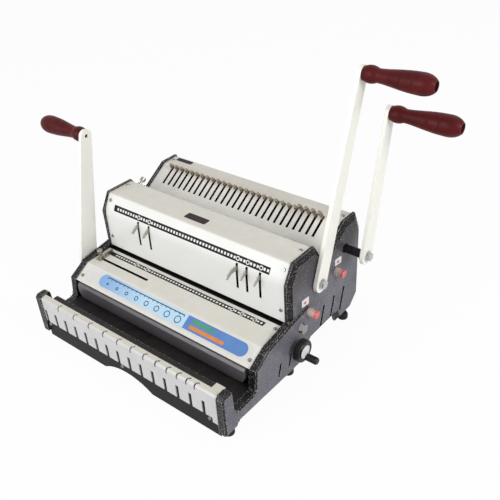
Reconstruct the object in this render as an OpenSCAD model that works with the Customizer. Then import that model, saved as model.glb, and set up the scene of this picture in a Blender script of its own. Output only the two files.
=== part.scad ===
// Desk machine that punches and binds paper: a front punch for plastic coil,
// a rear punch for twin-loop wire and a wire closer along the front edge.
// Lengths are in millimetres and angles in degrees. Depths are measured from the
// front face, widths from the middle and heights from floor_z below the table top.

/* [Frame] */
// Clear width between the side plates
inner_w = 388; // [372:1:440]
// Thickness of a side plate
plate_t = 10; // [6:0.5:14]
// Thickness of a closer plate where it laps the side plate
lap_t = 4; // [3:0.5:8]
// Bevel along the outer edges of the side plates
bevel = 2.5; // [1:0.5:3]
// Bevel of a side plate round its upper and rear edges
side_bevel = 5.5; // [2:0.5:6]
// How far the side plates stand proud of the covers
rim = 2; // [1:0.5:4]
// Depth of the machine from front face to back
machine_d = 367; // [362:1:400]
// Height of the table top on which the feet stand
floor_z = 6; // [2:0.5:7]
// Height of the lower edge of the side plates
foot_h = 18; // [14:0.5:26]
// Radius of a foot
foot_r = 9; // [7:0.5:14]
// Height of the underside of the base plate
base_z = 30; // [26:0.5:32]
// Thickness of the base plate
base_t = 2; // [1:0.5:3]
// Thickness of the covers
sheet_t = 1; // [0.8:0.1:2]
// Outer radius of the folds in the covers
bend_r = 4; // [2:0.5:6]
// Outer radius of the soft fold at the top of the slit face of the upper cover
face_bend_r = 40; // [10:1:50]
// Height of the arch in the lower edge of a side plate
arch_z = 44; // [36:0.5:50]

/* [Wire closer] */
// Height of the top edge of the gauge plate
gauge_top = 88; // [82:0.5:94]
// Height of the lower edge of the gauge plate
gauge_bottom = 41; // [34:0.5:50]
// Thickness of the gauge plate
gauge_t = 2; // [1:0.1:3]
// Depth of the lip along the top of the gauge plate
lip_d = 10.5; // [9.5:0.5:22]
// Half of the width that the row of comb slots leaves beside it
comb_edge = 16.2; // [14:0.1:40]
// Width of a comb slot
comb_w = 6; // [3:0.5:8]
// Length of a comb slot
comb_l = 25; // [15:0.5:30]
// Distance of the first hook cut from the left side plate
hook_edge = 43; // [30:0.5:60]
// How much each gap between hook cuts is smaller than the last
hook_shrink = 2.3; // [1.9:0.1:2.6]
// Width of a hook cut
hook_w = 2.8; // [1.5:0.1:3.4]
// Width of the arch in the front panel
panel_arch_w = 108; // [60:1:160]
// Height of the arch in the front panel
panel_arch_h = 16; // [6:0.5:20]
// Height of the lower edge of the front panel
panel_z = 8; // [7:0.5:14]
// Height of the floor of the wire trough
trough_z = 46; // [42:0.5:52]
// Thickness of the anvil bar
anvil_t = 9; // [5:0.5:12]
// Depth of the front face of the closing jaw
jaw_y = 70; // [64:0.5:74]
// Thickness of the closing jaw
jaw_t = 10; // [6:0.5:12]
// Radius of the rounded ends of the closing jaw
jaw_r = 18; // [6:0.5:26]
// Turn of the closer lever
closer_turn = 100; // [60:1:105]

/* [Covers] */
// Depth of the front edge of the table cover
low_edge_y = 74.5; // [72:0.5:80]
// Height of the front edge of the table cover
low_edge_z = 82; // [81:0.5:90]
// Share of the depth of the table cover that its front slope takes
slope_share = 0.377; // [0.35:0.0005:0.45]
// Height of the fold in the table cover
low_bend_z = 100.5; // [96:0.5:101.5]
// Distance of the front face of the upper cover from the back of the machine
face_back = 203; // [199:0.5:209]
// Height of the front die, where the paper lies
table_z = 102; // [101.5:0.5:108]
// Height of the lower fold of the upper cover
fold_z = 178; // [170:0.5:184]
// Distance of the upper fold of the upper cover from the back
crown_back = 186; // [177:0.5:193]
// Height of the upper cover
crown_z = 206; // [198:0.5:214]
// Distance of the rear edge of the top of the upper cover from the back
top_rear_back = 133; // [129:0.5:141]
// Slope of the slit face of the rear cover
slope_a = 31.7; // [28:0.1:36]
// Distance of the upper fold of the slit face from the back
rear_fold_back = 47; // [41:0.5:53]
// Height of the upper fold of the slit face
rear_fold_z = 204; // [198:0.5:210]
// Length of the flat top of the rear cover
rear_top_l = 32; // [20:0.5:38]
// Height of the upper corner of the back
back_corner_z = 172; // [150:0.5:185]

/* [Punches] */
// Opening of a paper throat
throat = 4.6; // [4.2:0.1:6]
// Thickness of a die plate
die_t = 10; // [6:0.5:10.5]
// Thickness of a pin guide
guide_t = 10; // [6:0.5:14]
// How far a die plate reaches out in front of its cover
die_lip = 6; // [4:0.5:14]
// Depth of the punch pins behind the cover's face
pin_depth = 22; // [18:0.5:22.5]
// Depth of the die plates behind the cover's face
die_depth = 30; // [27:0.5:32]
// Number of coil punch pins
coil_count = 52; // [40:1:52]
// Half of the width that the row of coil holes leaves beside it
coil_edge = 32.075; // [30:0.005:40]
// Diameter of a coil punch pin
coil_pin_d = 4; // [3:0.1:4.4]
// Number of wire punch pins
wire_count = 27; // [20:1:27]
// Half of the width that the row of wire holes leaves beside it
wire_edge = 28.9; // [26:0.1:36]
// Width of a wire punch pin
wire_pin_w = 4; // [3:0.1:5]
// Depth of a wire punch pin
wire_pin_d = 5; // [3:0.1:5.4]
// Length of the selector slits in the upper cover
front_slit_l = 46.5; // [40:0.5:50]
// Length of the selector slits in the rear cover
rear_slit_l = 39.5; // [36:0.5:40]
// Width of a selector slit
slit_w = 4.4; // [2.8:0.1:5]
// Thickness of a selector
tab_t = 2; // [1.4:0.1:2.4]
// Height of a selector
tab_h = 7; // [5:0.5:8]
// How far the front selectors stand out
front_tab_out = 15; // [10:0.5:35]
// Droop of the handles of the front selectors
tab_droop = 30; // [0:1:40]
// How far a rear selector stands out when it is in
rear_tab_out = 10; // [8:0.5:16]
// Pull of a selector
tab_pull = 10; // [6:0.5:12]
// Diameter of the bead on a rear selector
bead_d = 6; // [4:0.5:8]
// Height of a pressure bar
bar_h = 15; // [12:0.5:16]
// Thickness of a pressure bar
bar_t = 12; // [9:0.5:12.4]
// Thickness of a rack plate
rack_t = 10; // [8:0.5:12]
// Turn of the punch levers
punch_turn = 95; // [70:1:98]

/* [Gearing] */
// Tooth module of the pinions and racks
tooth_m = 2.5; // [2.3:0.1:2.6]
// Width of a pinion
pinion_w = 8; // [6:0.5:9]
// Diameter of the lever shafts
shaft_d = 14; // [11:0.5:14]
// Wall of a shaft bush
bush_wall = 3; // [2:0.5:4]
// Thickness of the flange of a shaft bush
flange_t = 2; // [1:0.5:3]
// Distance of the front punch shaft from the back
front_shaft_back = 131; // [128:0.5:131]
// Height of the front punch shaft
front_shaft_z = 143; // [141:0.5:144]
// Distance of the rear punch shaft from the back
rear_shaft_back = 50; // [49:0.5:51]
// Height of the rear punch shaft
rear_shaft_z = 160; // [158.5:0.5:160]
// Distance of the closer shaft behind the fold of the table cover
closer_shaft_in = 7.5; // [6:0.5:10]
// Height of the closer shaft
closer_shaft_z = 56; // [55:0.5:56]

/* [Levers] */
// Thickness of the lever bars
lever_t = 6; // [4:0.5:8]
// Half width of a punch lever at its shaft
punch_lever_r = 15; // [12:0.5:17]
// Half width of the closer lever at its shaft
closer_lever_r = 19; // [12:0.5:21]
// Half width of a lever at its grip
lever_tip_r = 11; // [9:0.5:13]
// Length of the front punch lever, shaft to grip
front_lever_l = 316; // [300:1:340]
// Length of the rear punch lever, shaft to grip
rear_lever_l = 226; // [205:1:240]
// Length of the closer lever, shaft to grip
closer_lever_l = 263.5; // [220:0.5:280]
// Lean of the front punch lever
front_lean = 18.9; // [14:0.1:22]
// Lean of the rear punch lever
rear_lean = 12.3; // [8:0.1:16]
// Lean of the closer lever
closer_lean = 12.2; // [6:0.1:16]
// Gap between the side plate and the front punch lever
front_lever_gap = 2; // [2:0.5:12]
// Gap between the side plate and the rear punch lever
rear_lever_gap = 34; // [30:0.5:50]
// Gap between the closer plate and the closer lever
closer_lever_gap = 2; // [1:0.5:6]
// Length of a grip
grip_l = 106; // [95:1:140]
// Greatest radius of a grip
grip_r = 15.5; // [14:0.5:21]
// Radius of the neck of a grip
grip_neck_r = 10; // [8:0.5:12]
// Radius of the bulb of a grip beside its lever
grip_bulb_r = 12.7; // [10:0.1:14]

/* [Controls] */
// Diameter of a margin knob
margin_knob_d = 14; // [12:0.5:17]
// Length of a margin knob
margin_knob_l = 16; // [14:0.5:28]
// Diameter of the journals of a margin rod
margin_rod_d = 8; // [6:0.5:9]
// Radius of the eccentric stop on a margin rod
stop_r = 8; // [6:0.5:8]
// Throw of the eccentric stop
stop_throw = 2; // [1:0.25:2.25]
// Diameter of the wire size crank
crank_d = 37; // [34:0.5:42]
// Thickness of the wire size crank
crank_t = 13; // [8:0.5:18]
// Diameter of the crank peg
peg_d = 12; // [7:0.5:12]
// Length of the crank peg
peg_l = 20; // [15:0.5:32]
// Radius at which the peg sits on the crank
peg_reach = 12.5; // [10:0.5:13]
// Diameter of the crank shaft
crank_shaft_d = 10; // [7:0.5:12]
// Radius of the wire size cam
cam_r = 13; // [9:0.5:14]
// Length of an edge guide slot
guide_slot_l = 114; // [60:1:130]
// Width of an edge guide slot
guide_slot_w = 5.4; // [4:0.1:6]
// Diameter of a guide thumbscrew
thumb_d = 10; // [8:0.5:11]
// Length of an edge guide
guide_l = 32; // [24:0.5:36]
// Height of the fence on an edge guide
fence_h = 8; // [5:0.5:12]

/* [Chip tray] */
// Gap between the side plates and the chip tray
tray_side = 44; // [42:1:70]
// Distance of the front wall of the chip tray from the back
tray_back = 180; // [167:0.5:184]
// Height of the chip tray
tray_h = 28; // [20:0.5:34]
// Wall of the chip tray
tray_wall = 1.5; // [1:0.1:3]

/* [Clearances] */
// Running clearance round shafts and rods
run_fit = 0.05; // [0.02:0.01:0.1]
// Clearance round pressed bushes, spigots and studs
press_fit = 0.02; // [0.01:0.01:0.05]
// Clearance round the punch pins
pin_fit = 0.1; // [0.05:0.01:0.2]
// Clearance round the selectors in the bars
tab_fit = 0.3; // [0.2:0.05:0.4]
// Clearance under and beside sliding pieces
slide_gap = 0.3; // [0.2:0.05:0.5]
// Backlash of the teeth, taken off each flank
backlash = 0.15; // [0.1:0.01:0.3]

/* [Hidden] */
$fn = 48;
eps = 0.01;
// Reach of a cut through a sheet, to each side of it
cut_reach = 10;
FRONT = 0;
REAR = 1;
CLOSER = 2;
half_w = inner_w / 2;
plate_x = half_w + plate_t;
lap_x = plate_x + lap_t;

// Depths of what stands at a set distance from the back
face_y = machine_d - face_back;
crown_y = machine_d - crown_back;
top_rear_y = machine_d - top_rear_back;
rear_fold_y = machine_d - rear_fold_back;
front_shaft_y = machine_d - front_shaft_back;
rear_shaft_y = machine_d - rear_shaft_back;
tray_y = machine_d - tray_back;
tray_half_w = half_w - tray_side;

// Rows of holes and slots, spread over the clear width
coil_pitch = (inner_w - 2 * coil_edge) / (coil_count - 1);
wire_pitch = (inner_w - 2 * wire_edge) / (wire_count - 1);
comb_count = 15;
comb_pitch = (inner_w - 2 * comb_edge) / (comb_count - 1);

// Points in the (depth, height) plane
crown = [crown_y, crown_z];
top_rear = [top_rear_y, crown_z - 1];
rear_fold = [rear_fold_y, rear_fold_z];
slope_dir = [cos(slope_a), sin(slope_a)];
slope_out = [-sin(slope_a), cos(slope_a)];
// The rear throat lies where the slit face meets the back slope of the upper cover
rear_o = top_rear - slope_out * ((top_rear - rear_fold) * slope_out);
rear_top = rear_fold + [rear_top_l, 1];
back_in = machine_d - rim;
back_corner = [back_in, back_corner_z];
table_end_y = face_y - die_lip;
low_bend_y = low_edge_y + slope_share * (table_end_y - low_edge_y);
slope_l = norm([low_bend_y - low_edge_y, low_bend_z - low_edge_z]);
closer_shaft_y = low_bend_y + closer_shaft_in;
table_l = norm([table_end_y - low_bend_y, table_z - low_bend_z]);
table_a = atan2(table_z - low_bend_z, table_end_y - low_bend_y);
low_a = atan2(low_bend_z - low_edge_z, low_bend_y - low_edge_y);

// Each punch has a frame of its own: Y along the cover's face away from the throat,
// Z out of the face. The closer's frame is the machine's.
punch_o = [[face_y, table_z], rear_o, [0, 0]];
punch_a = [90, slope_a, 0];
function turned(v, a) = [v[0] * cos(a) - v[1] * sin(a), v[0] * sin(a) + v[1] * cos(a)];
function local(k, p) = turned(p - punch_o[k], -punch_a[k]);
shaft_p = [[front_shaft_y, front_shaft_z], [rear_shaft_y, rear_shaft_z],
           [closer_shaft_y, closer_shaft_z]];
shaft_l = [for (k = [FRONT:CLOSER]) local(k, shaft_p[k])];

// Selectors and bars, along the face of their covers
slit_top = [78, 72.5];
tab_drop = [4.5, 0.5];
slit_l = [front_slit_l, rear_slit_l];
tab_y = [for (k = [FRONT, REAR]) slit_top[k] - tab_drop[k] - tab_h / 2];
bar_half_w = half_w - 19;
bar_z = -pin_depth - bar_t / 2;
rack_x = bar_half_w;
front_tab_pins = [8, 12, 42, 45, 49];
front_pulled = 2;
pulled_count = 4;
coil_x0 = -1.4 - (coil_count - 1) * coil_pitch / 2;
wire_x0 = -4 - (wire_count - 1) * wire_pitch / 2;
pin_tip = throat + 1;

// Gearing: the travel follows the turn of the lever
pinion_n = 12;
pressure_a = 20;
pitch_r = tooth_m * pinion_n / 2;
pitch_l = PI * tooth_m;
addendum = 0.7 * tooth_m;
dedendum = 0.9 * tooth_m;
travel = [for (t = [punch_turn, punch_turn, closer_turn]) pitch_r * t * PI / 180];
rack_body = 10;
rack_lead = [1, 1, 2];

// Levers
lever_l = [front_lever_l, rear_lever_l, closer_lever_l];
lever_r = [punch_lever_r, punch_lever_r, closer_lever_r];
lean = [front_lean, rear_lean, closer_lean];
lever_side = [1, 1, -1];
lever_x = [plate_x + front_lever_gap, plate_x + rear_lever_gap, lap_x + closer_lever_gap];
spigot_r = shaft_d / 2 - 2;
bolt_r = 3;
bolt_l = 12;
stud_r = 3;
bush_r = shaft_d / 2 + bush_wall;

// Controls
margin_l = [[5, -41.5], [8, -45]];
function world(k, q) = punch_o[k] + turned(q, punch_a[k]);
margin_p = [for (k = [FRONT, REAR]) world(k, margin_l[k])];
margin_x = [lap_x, plate_x];
crank_p = [face_y + 4, 62];
guide_x = [12.5 - half_w, 6.5 - half_w];
guide_at = [low_bend_y + 0.41 * (table_end_y - low_bend_y), 30];
stem_r = guide_slot_w / 2 - 0.2;

// Middle of the whole machine, levers and grips included
grip_y = [for (k = [FRONT:CLOSER]) shaft_p[k][0] + lever_l[k] * sin(lean[k]) + grip_r];
mid_x = (max(lever_x[FRONT], lever_x[REAR]) - lever_x[CLOSER]) / 2;
mid_y = (max(max(grip_y), machine_d + 2) - rim) / 2;

function unit(v) = v / norm(v);
function right_of(v) = [v[1], -v[0]];
function left_of(v) = [-v[1], v[0]];
// Shift of point i of a folded sheet to its inner side, mitred at the folds
function fold_shift(p, i, t) =
    i == 0 ? t * right_of(unit(p[1] - p[0])) :
    i == len(p) - 1 ? t * right_of(unit(p[i] - p[i - 1])) :
    let (a = right_of(unit(p[i] - p[i - 1])), b = right_of(unit(p[i + 1] - p[i])))
    t * (a + b) / (1 + a * b);
function folded(p, t) =
    concat(p, [for (i = [len(p) - 1:-1:0]) p[i] + fold_shift(p, i, t)]);
// Point i of a path as an arc of radius r
function bend(p, i, r, steps) =
    let (a = unit(p[i] - p[i - 1]), b = unit(p[i + 1] - p[i]), turn = acos(a * b),
         way = sign(cross(a, b)), start = p[i] - r * tan(turn / 2) * a,
         centre = start + way * r * left_of(a))
    [for (s = [0:steps]) centre + turned(start - centre, way * turn * s / steps)];
// Path with its inner points bent, each to its own radius
function bent(p, r) =
    [p[0], for (i = [1:len(p) - 2]) each bend(p, i, r[i - 1], 6), p[len(p) - 1]];
function arc_points(c, r, a0, a1, steps) =
    [for (s = [0:steps]) let (a = a0 + (a1 - a0) * s / steps) c + r * [cos(a), sin(a)]];

// Sets the machine on the table top with its middle over the origin
module placed() {
    translate([-mid_x, -mid_y, -floor_z]) children();
}

// Carries a (depth, height) outline from x0 to x1
module along_x(x0, x1) {
    translate([x0, 0, 0]) rotate([90, 0, 90]) linear_extrude(x1 - x0) children();
}

module rod_x(p, r, x0, x1) {
    translate([x0, p[0], p[1]]) rotate([0, 90, 0]) cylinder(r = r, h = x1 - x0);
}

module sheet(p, t) {
    along_x(-half_w, half_w) polygon(folded(p, t));
}

module punch_frame(k) {
    translate([0, punch_o[k][0], punch_o[k][1]]) rotate([punch_a[k], 0, 0]) children();
}

// Box in a punch frame: middle and width across, then low and high along Y and Z
module punch_box(x, w, y0, y1, z0, z1) {
    translate([x - w / 2, y0, z0]) cube([w, y1 - y0, z1 - z0]);
}

// Plate whose upper edges are bevelled all round, each by its own depth and lean times as
// wide, stopping short of the inner corners.
// Neighbouring bevels differ slightly, so that no four faces meet in one point.
corner_gap = 0.5;
module bevelled(p, t, sizes, lean = 1) {
    n = len(p);
    difference() {
        linear_extrude(t) polygon(p);
        for (i = [0:n - 1]) {
            a = p[i];
            b = p[(i + 1) % n];
            d = b - a;
            c = sizes[i] * (i == n - 1 ? 1.06 : 1 + 0.03 * (i % 2));
            before = cross(a - p[(i + n - 1) % n], d) > 0 ? 2 * c : -corner_gap;
            after = cross(d, p[(i + 2) % n] - b) > 0 ? 2 * c : -corner_gap;
            translate([a[0], a[1], t]) rotate([0, 0, atan2(d[1], d[0])])
                translate([-before, 0, 0]) rotate([90, 0, 90])
                linear_extrude(norm(d) + before + after)
                polygon([[-c * lean, -2 * c], [2 * c * lean, c], [-c * lean, c]]);
        }
    }
}

// Side plates
plate_y0 = low_bend_y - 9;
lap_y1 = face_y + 50;
lap_top = table_z + 9;
lap_rise = 5;
lap_step = 0.6;
// Height of the slope of a closer plate at depth y
function slope_at(y) = low_edge_z + rim
    + (low_bend_z - low_edge_z) * (y - low_edge_y + 1.5) / (low_bend_y - low_edge_y + 1);
arch_y = [face_y + 43, machine_d - 77];
groove_y = machine_d - 123.3;
groove_step = 30;
arch_run = 27;
leg_run = 9;
back_chamfer = 25;
slope_rim = 4;
foot_y = [15, face_y - 1, machine_d - 40];
sole_rise = 7;
sole_y = [foot_y[0] + foot_r + 4, foot_y[1] - foot_r];
// Height of the lower edge of the plates between the front and middle feet
function sole_at(y) = foot_h + sole_rise * (sole_y[1] - y) / (sole_y[1] - sole_y[0]);
plate_outline = [
    [plate_y0, sole_at(plate_y0)],
    [sole_y[1], foot_h],
    [arch_y[0] - arch_run, foot_h],
    [arch_y[0], arch_z],
    [arch_y[1], arch_z],
    [arch_y[1] + leg_run, foot_h],
    [machine_d - back_chamfer, foot_h],
    [machine_d, foot_h + back_chamfer],
    [machine_d, back_corner_z],
    rear_top + [1, rim],
    rear_fold + slope_rim * slope_out,
    rear_o + rim * slope_dir + slope_rim * slope_out,
    top_rear + [1, rim],
    crown + [-1, rim],
    [face_y - rim, fold_z],
    [face_y - rim, lap_top - lap_step],
    [low_bend_y - 0.5, low_bend_z + rim - lap_step],
    [plate_y0, slope_at(plate_y0) - lap_step]
];
post_d = 20;
closer_outline = [
    [-rim, foot_h],
    [foot_y[0] + foot_r, foot_h],
    [sole_y[0], foot_h + sole_rise],
    [sole_y[1], foot_h],
    [arch_y[0] - arch_run, foot_h],
    [arch_y[0], arch_z],
    [lap_y1, arch_z + 8],
    [lap_y1, lap_top + lap_rise - 6],
    [lap_y1 - 6, lap_top + lap_rise],
    [face_y - rim, lap_top],
    [low_bend_y - 0.5, low_bend_z + rim],
    [low_edge_y - 1.5, low_edge_z + rim],
    [jaw_y - 1, trough_z + 5],
    [jaw_y - 6, trough_z],
    [post_d + 8, trough_z],
    [post_d + 2, trough_z + 6],
    [post_d, gauge_top + 1],
    [post_d - 4, gauge_top + 4],
    [3, gauge_top + 4],
    [-rim, gauge_top - 1]
];
// From the rear leg round to the front face the side plates have the wide bevel
plate_bevels = [for (i = [0:len(plate_outline) - 1]) i > 3 && i < 15 ? side_bevel : bevel];
lap_bevels = [for (p = closer_outline) bevel];
groove_lean = 16;
groove_w = 5.5;
groove_deep = 4.5;
lap_groove_w = 4.5;
lap_groove_deep = lap_t - 0.6;
bolt_at = [face_y + 24, 86];
side_bolt_r = 4;

// Slanted groove in the outer face of a plate
module groove(p, l, x, w, deep) {
    translate([x - deep, p[0], p[1]]) rotate([-groove_lean, 0, 0])
        translate([0, -w / 2, 0]) cube([deep + 1, w, l]);
}

module side_plate(right) {
    through = [half_w - 1, plate_x + 1];
    color("#3c3b3f") mirror([right ? 0 : 1, 0, 0]) difference() {
        translate([half_w, 0, 0]) rotate([90, 0, 90]) bevelled(plate_outline, plate_t, plate_bevels, 1.6);
        for (k = [FRONT:CLOSER]) rod_x(shaft_p[k], bush_r + press_fit, through[0], through[1]);
        for (k = [FRONT, REAR])
            rod_x(margin_p[k], margin_rod_d / 2 + run_fit, through[0], through[1]);
        if (right) rod_x(crank_p, crank_shaft_d / 2 + run_fit, through[0], through[1]);
        rod_x(bolt_at, side_bolt_r + press_fit, through[0], through[1]);
        for (i = [0:2])
            groove([groove_y + groove_step * i, arch_z - 3], 45.4, plate_x, groove_w, groove_deep);
    }
}

module closer_plate(right) {
    through = [half_w - 1, lap_x + 1];
    color("#3c3b3f") mirror([right ? 0 : 1, 0, 0]) difference() {
        union() {
            translate([half_w, 0, 0]) rotate([90, 0, 90]) intersection() {
                bevelled(closer_outline, lap_x - half_w, lap_bevels);
                translate([-rim - 1, 0, 0]) cube([plate_y0 + rim + 1, gauge_top + 50, lap_x]);
            }
            translate([plate_x, 0, 0]) rotate([90, 0, 90]) bevelled(closer_outline, lap_t, lap_bevels);
        }
        if (!right) rod_x(shaft_p[CLOSER], shaft_d / 2 + 1, through[0], through[1]);
        if (right) {
            rod_x(margin_p[FRONT], margin_rod_d / 2 + run_fit, through[0], through[1]);
            rod_x(crank_p, crank_shaft_d / 2 + run_fit, through[0], through[1]);
        }
        rod_x(bolt_at, side_bolt_r + press_fit, through[0], through[1]);
        for (i = [0:1])
            groove([low_bend_y + 18 + 27 * i, 34], 24, lap_x, lap_groove_w, lap_groove_deep);
    }
}

module left_side_plate() side_plate(false);
module right_side_plate() side_plate(true);
module left_closer_plate() closer_plate(false);
module right_closer_plate() closer_plate(true);

// Base and feet
module base_plate() {
    color("#2b2b2d") translate([-half_w, gauge_t + sheet_t + 2, base_z])
        cube([inner_w, machine_d - 6 - gauge_t - sheet_t - 2, base_t]);
}

module foot() {
    h = foot_h - floor_z;
    rotate_extrude() polygon([[0, 0], [foot_r - 2, 0], [foot_r - 0.6, 0.05 * h],
                              [foot_r, 0.15 * h], [foot_r, 0.7 * h], [foot_r - 2, h], [0, h]]);
}
module feet() {
    color("#1c1c1e") for (side = [-1, 1], y = foot_y)
        translate([side * (half_w + plate_t / 2 - 2), y, floor_z]) foot();
}

// Places of the cover screws, each with its shank pointing down
screw_head_r = 3.2;
screw_shank_r = 1.6;
screw_x = half_w - 8;
module low_screws() {
    for (side = [-1, 1])
        translate([side * screw_x, low_edge_y, low_edge_z]) rotate([low_a, 0, 0])
            translate([0, 0.33 * slope_l, 0]) children();
    translate([screw_x, low_bend_y, low_bend_z]) rotate([table_a, 0, 0])
        translate([0, 0.82 * table_l, 0]) children();
}
module face_screws() {
    run = fold_z - table_z - throat;
    low_y = 0.36 * run;
    fold = [face_y + 1, fold_z];
    rise = crown - fold;
    high = fold + 0.63 * rise;
    for (side = [-1, 1]) {
        punch_frame(FRONT) translate([side * screw_x, low_y, (throat - low_y) / run])
            rotate([-atan(1 / run), 0, 0]) children();
        translate([side * screw_x, high[0], high[1]])
            rotate([atan2(rise[1], rise[0]), 0, 0]) children();
    }
}
module crown_screws() {
    fall = top_rear - crown;
    place = crown + 0.7 * fall;
    for (side = [-1, 1]) translate([side * screw_x, place[0], place[1]])
        rotate([atan2(fall[1], fall[0]), 0, 0]) children();
}
module rear_screws() {
    rise = rear_top - rear_fold;
    middle = (rear_fold + rear_top) / 2;
    for (side = [-1, 1]) translate([side * screw_x, middle[0], middle[1]])
        rotate([atan2(rise[1], rise[0]), 0, 0]) children();
}
module panel_screws() {
    for (x = [6 - half_w, -8, half_w - 19])
        translate([x, gauge_t, gauge_bottom - 7]) rotate([90, 0, 0]) children();
}
module screw_shank(r) {
    translate([0, 0, -8]) cylinder(r = r, h = 8 + eps);
}
module screw() {
    difference() {
        cylinder(r1 = screw_head_r, r2 = screw_head_r - 0.8, h = 1.8);
        for (turn = [20, 110]) rotate(turn) translate([-1.8, -0.4, 0.8]) cube([3.6, 0.8, 2]);
    }
    screw_shank(screw_shank_r);
}
module cover_screws() {
    color("#c9c9cc") {
        low_screws() screw();
        face_screws() screw();
        crown_screws() screw();
        rear_screws() screw();
        panel_screws() screw();
    }
}
module screw_hole() {
    translate([0, 0, -cut_reach]) cylinder(r = screw_shank_r + run_fit, h = 2 * cut_reach);
}

module side_bolts() {
    color("#4a4a4e") for (side = [0, 1]) mirror([side, 0, 0]) {
        rod_x(bolt_at, side_bolt_r, half_w, lap_x);
        translate([lap_x, bolt_at[0], bolt_at[1]]) rotate([0, 90, 0])
            cylinder(r1 = 10, r2 = 7.5, h = 5);
    }
}

module shaft_bushes() {
    color("#2c2c2e") for (side = [0, 1], k = [FRONT:CLOSER]) mirror([side, 0, 0])
        difference() {
            union() {
                rod_x(shaft_p[k], bush_r, half_w - eps, plate_x);
                rod_x(shaft_p[k], bush_r + 3, half_w - flange_t, half_w);
            }
            rod_x(shaft_p[k], shaft_d / 2 + run_fit, half_w - flange_t - 1, plate_x + 1);
        }
}

// Covers
module round_slot(x, l, w) {
    translate([x, -w / 2, -cut_reach]) cube([l, w, 2 * cut_reach]);
    for (end = [0, l]) translate([x + end, 0, -cut_reach]) cylinder(d = w, h = 2 * cut_reach);
}

// Frame on the table cover at the guide slot: Y towards the throat, Z off the table
module front_guide_frame() {
    rise = (guide_at[FRONT] - low_bend_y) * tan(table_a);
    translate([0, guide_at[FRONT], low_bend_z + rise]) rotate([table_a, 0, 0]) children();
}
module rear_guide_frame() {
    punch_frame(REAR) translate([0, 0, guide_at[REAR]]) rotate([-90, 0, 0]) children();
}

module lower_cover() {
    end = [table_end_y, table_z] - sheet_t * max(0, tan(table_a)) * [cos(table_a), sin(table_a)];
    path = [[low_edge_y, low_edge_z], [low_bend_y, low_bend_z], end];
    color("#eeece4") difference() {
        sheet(bent(path, [bend_r]), sheet_t);
        front_guide_frame() round_slot(guide_x[FRONT], guide_slot_l, guide_slot_w);
        low_screws() screw_hole();
    }
}

module slits(k, xs) {
    punch_frame(k) for (x = xs)
        punch_box(x, slit_w, slit_top[k] - slit_l[k], slit_top[k], -cut_reach, cut_reach);
}
front_tab_x = [for (i = front_tab_pins) coil_x0 + i * coil_pitch];
rear_tab_x = [for (i = [0:wire_count - 1]) wire_x0 + i * wire_pitch];

module upper_cover() {
    path = [[face_y, table_z + throat], [face_y + 1, fold_z], crown, top_rear,
            rear_o + die_lip * slope_out];
    color("#eeece4") difference() {
        sheet(bent(path, [face_bend_r, bend_r, bend_r]), sheet_t);
        slits(FRONT, front_tab_x);
        rear_guide_frame() round_slot(guide_x[REAR], guide_slot_l, guide_slot_w);
        face_screws() screw_hole();
        crown_screws() screw_hole();
    }
}

tray_front_top = base_z + base_t + tray_h + 4;
module rear_cover() {
    path = [rear_o + throat * slope_dir, rear_fold, rear_top, back_corner,
            [back_in, tray_front_top + 1]];
    color("#eeece4") difference() {
        sheet(bent(path, [bend_r, bend_r, bend_r]), sheet_t);
        slits(REAR, rear_tab_x);
        rear_screws() screw_hole();
    }
}

// Front of the wire closer
panel_top = gauge_top - 8;
arch_radius = (pow(panel_arch_w / 2, 2) + pow(panel_arch_h, 2)) / (2 * panel_arch_h);
module front_panel() {
    color("#19191b") difference() {
        translate([-half_w, gauge_t, panel_z]) cube([inner_w, sheet_t, panel_top - panel_z]);
        translate([0, gauge_t - 1, panel_z + panel_arch_h - arch_radius]) rotate([-90, 0, 0])
            cylinder(r = arch_radius, h = sheet_t + 2, $fn = 96);
        panel_screws() screw_hole();
    }
}

comb_x0 = -11 - (comb_count - 1) * comb_pitch / 2;
hook_count = 12;
hook_x0 = hook_edge - half_w;
hook_end = 42.5;
hook_sum = hook_shrink * (hook_count - 1) * (hook_count - 2) / 2;
hook_step = (inner_w - hook_edge - hook_end + hook_sum) / (hook_count - 1);
hook_down = 8;
hook_bow = 3.8;
function hook_x(i) = hook_x0 + i * hook_step - hook_shrink * i * (i - 1) / 2;

// Cut that runs up the face of the gauge plate and curls over its lip
module hook_cut() {
    translate([0, -1, gauge_top - hook_down])
        cube([hook_w, gauge_t + 3, hook_down + 4]);
    translate([hook_bow + hook_w, gauge_t, gauge_top - 6]) linear_extrude(16)
        intersection() {
            difference() {
                circle(r = hook_bow + hook_w);
                circle(r = hook_bow);
            }
            translate([-2 * hook_bow, -eps]) square(2 * hook_bow);
        }
}

flap_w = 16;
module gauge_plate() {
    path = [[0, gauge_bottom], [0, gauge_top - 2], [3, gauge_top + 1], [lip_d, gauge_top + 2]];
    color("#f1efe9") difference() {
        union() {
            sheet(path, gauge_t);
            translate([half_w - flap_w, lip_d - 2, gauge_top + 0.8]) cube([flap_w, 12, 2.6]);
            translate([half_w - 12, 0, gauge_bottom - 9]) cube([12, gauge_t, 10]);
        }
        for (i = [0:comb_count - 1])
            translate([comb_x0 + i * comb_pitch - comb_w / 2, -1, gauge_bottom - 1])
                cube([comb_w, gauge_t + 2, comb_l + 1]);
        for (i = [0:hook_count - 1]) translate([hook_x(i), 0, 0]) hook_cut();
    }
}

trough_end = closer_shaft_y - 15.5;
module trough_floor() {
    color("#19191b") translate([-half_w, gauge_t + sheet_t, trough_z - sheet_t])
        cube([inner_w, trough_end - gauge_t - sheet_t, sheet_t]);
}

anvil_ends = [20, flap_w + 2];
module anvil_bar() {
    color("#141416") translate([-half_w + anvil_ends[0], lip_d + 0.3, trough_z])
        cube([inner_w - anvil_ends[0] - anvil_ends[1], anvil_t, gauge_top + 2 - trough_z]);
}

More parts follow.
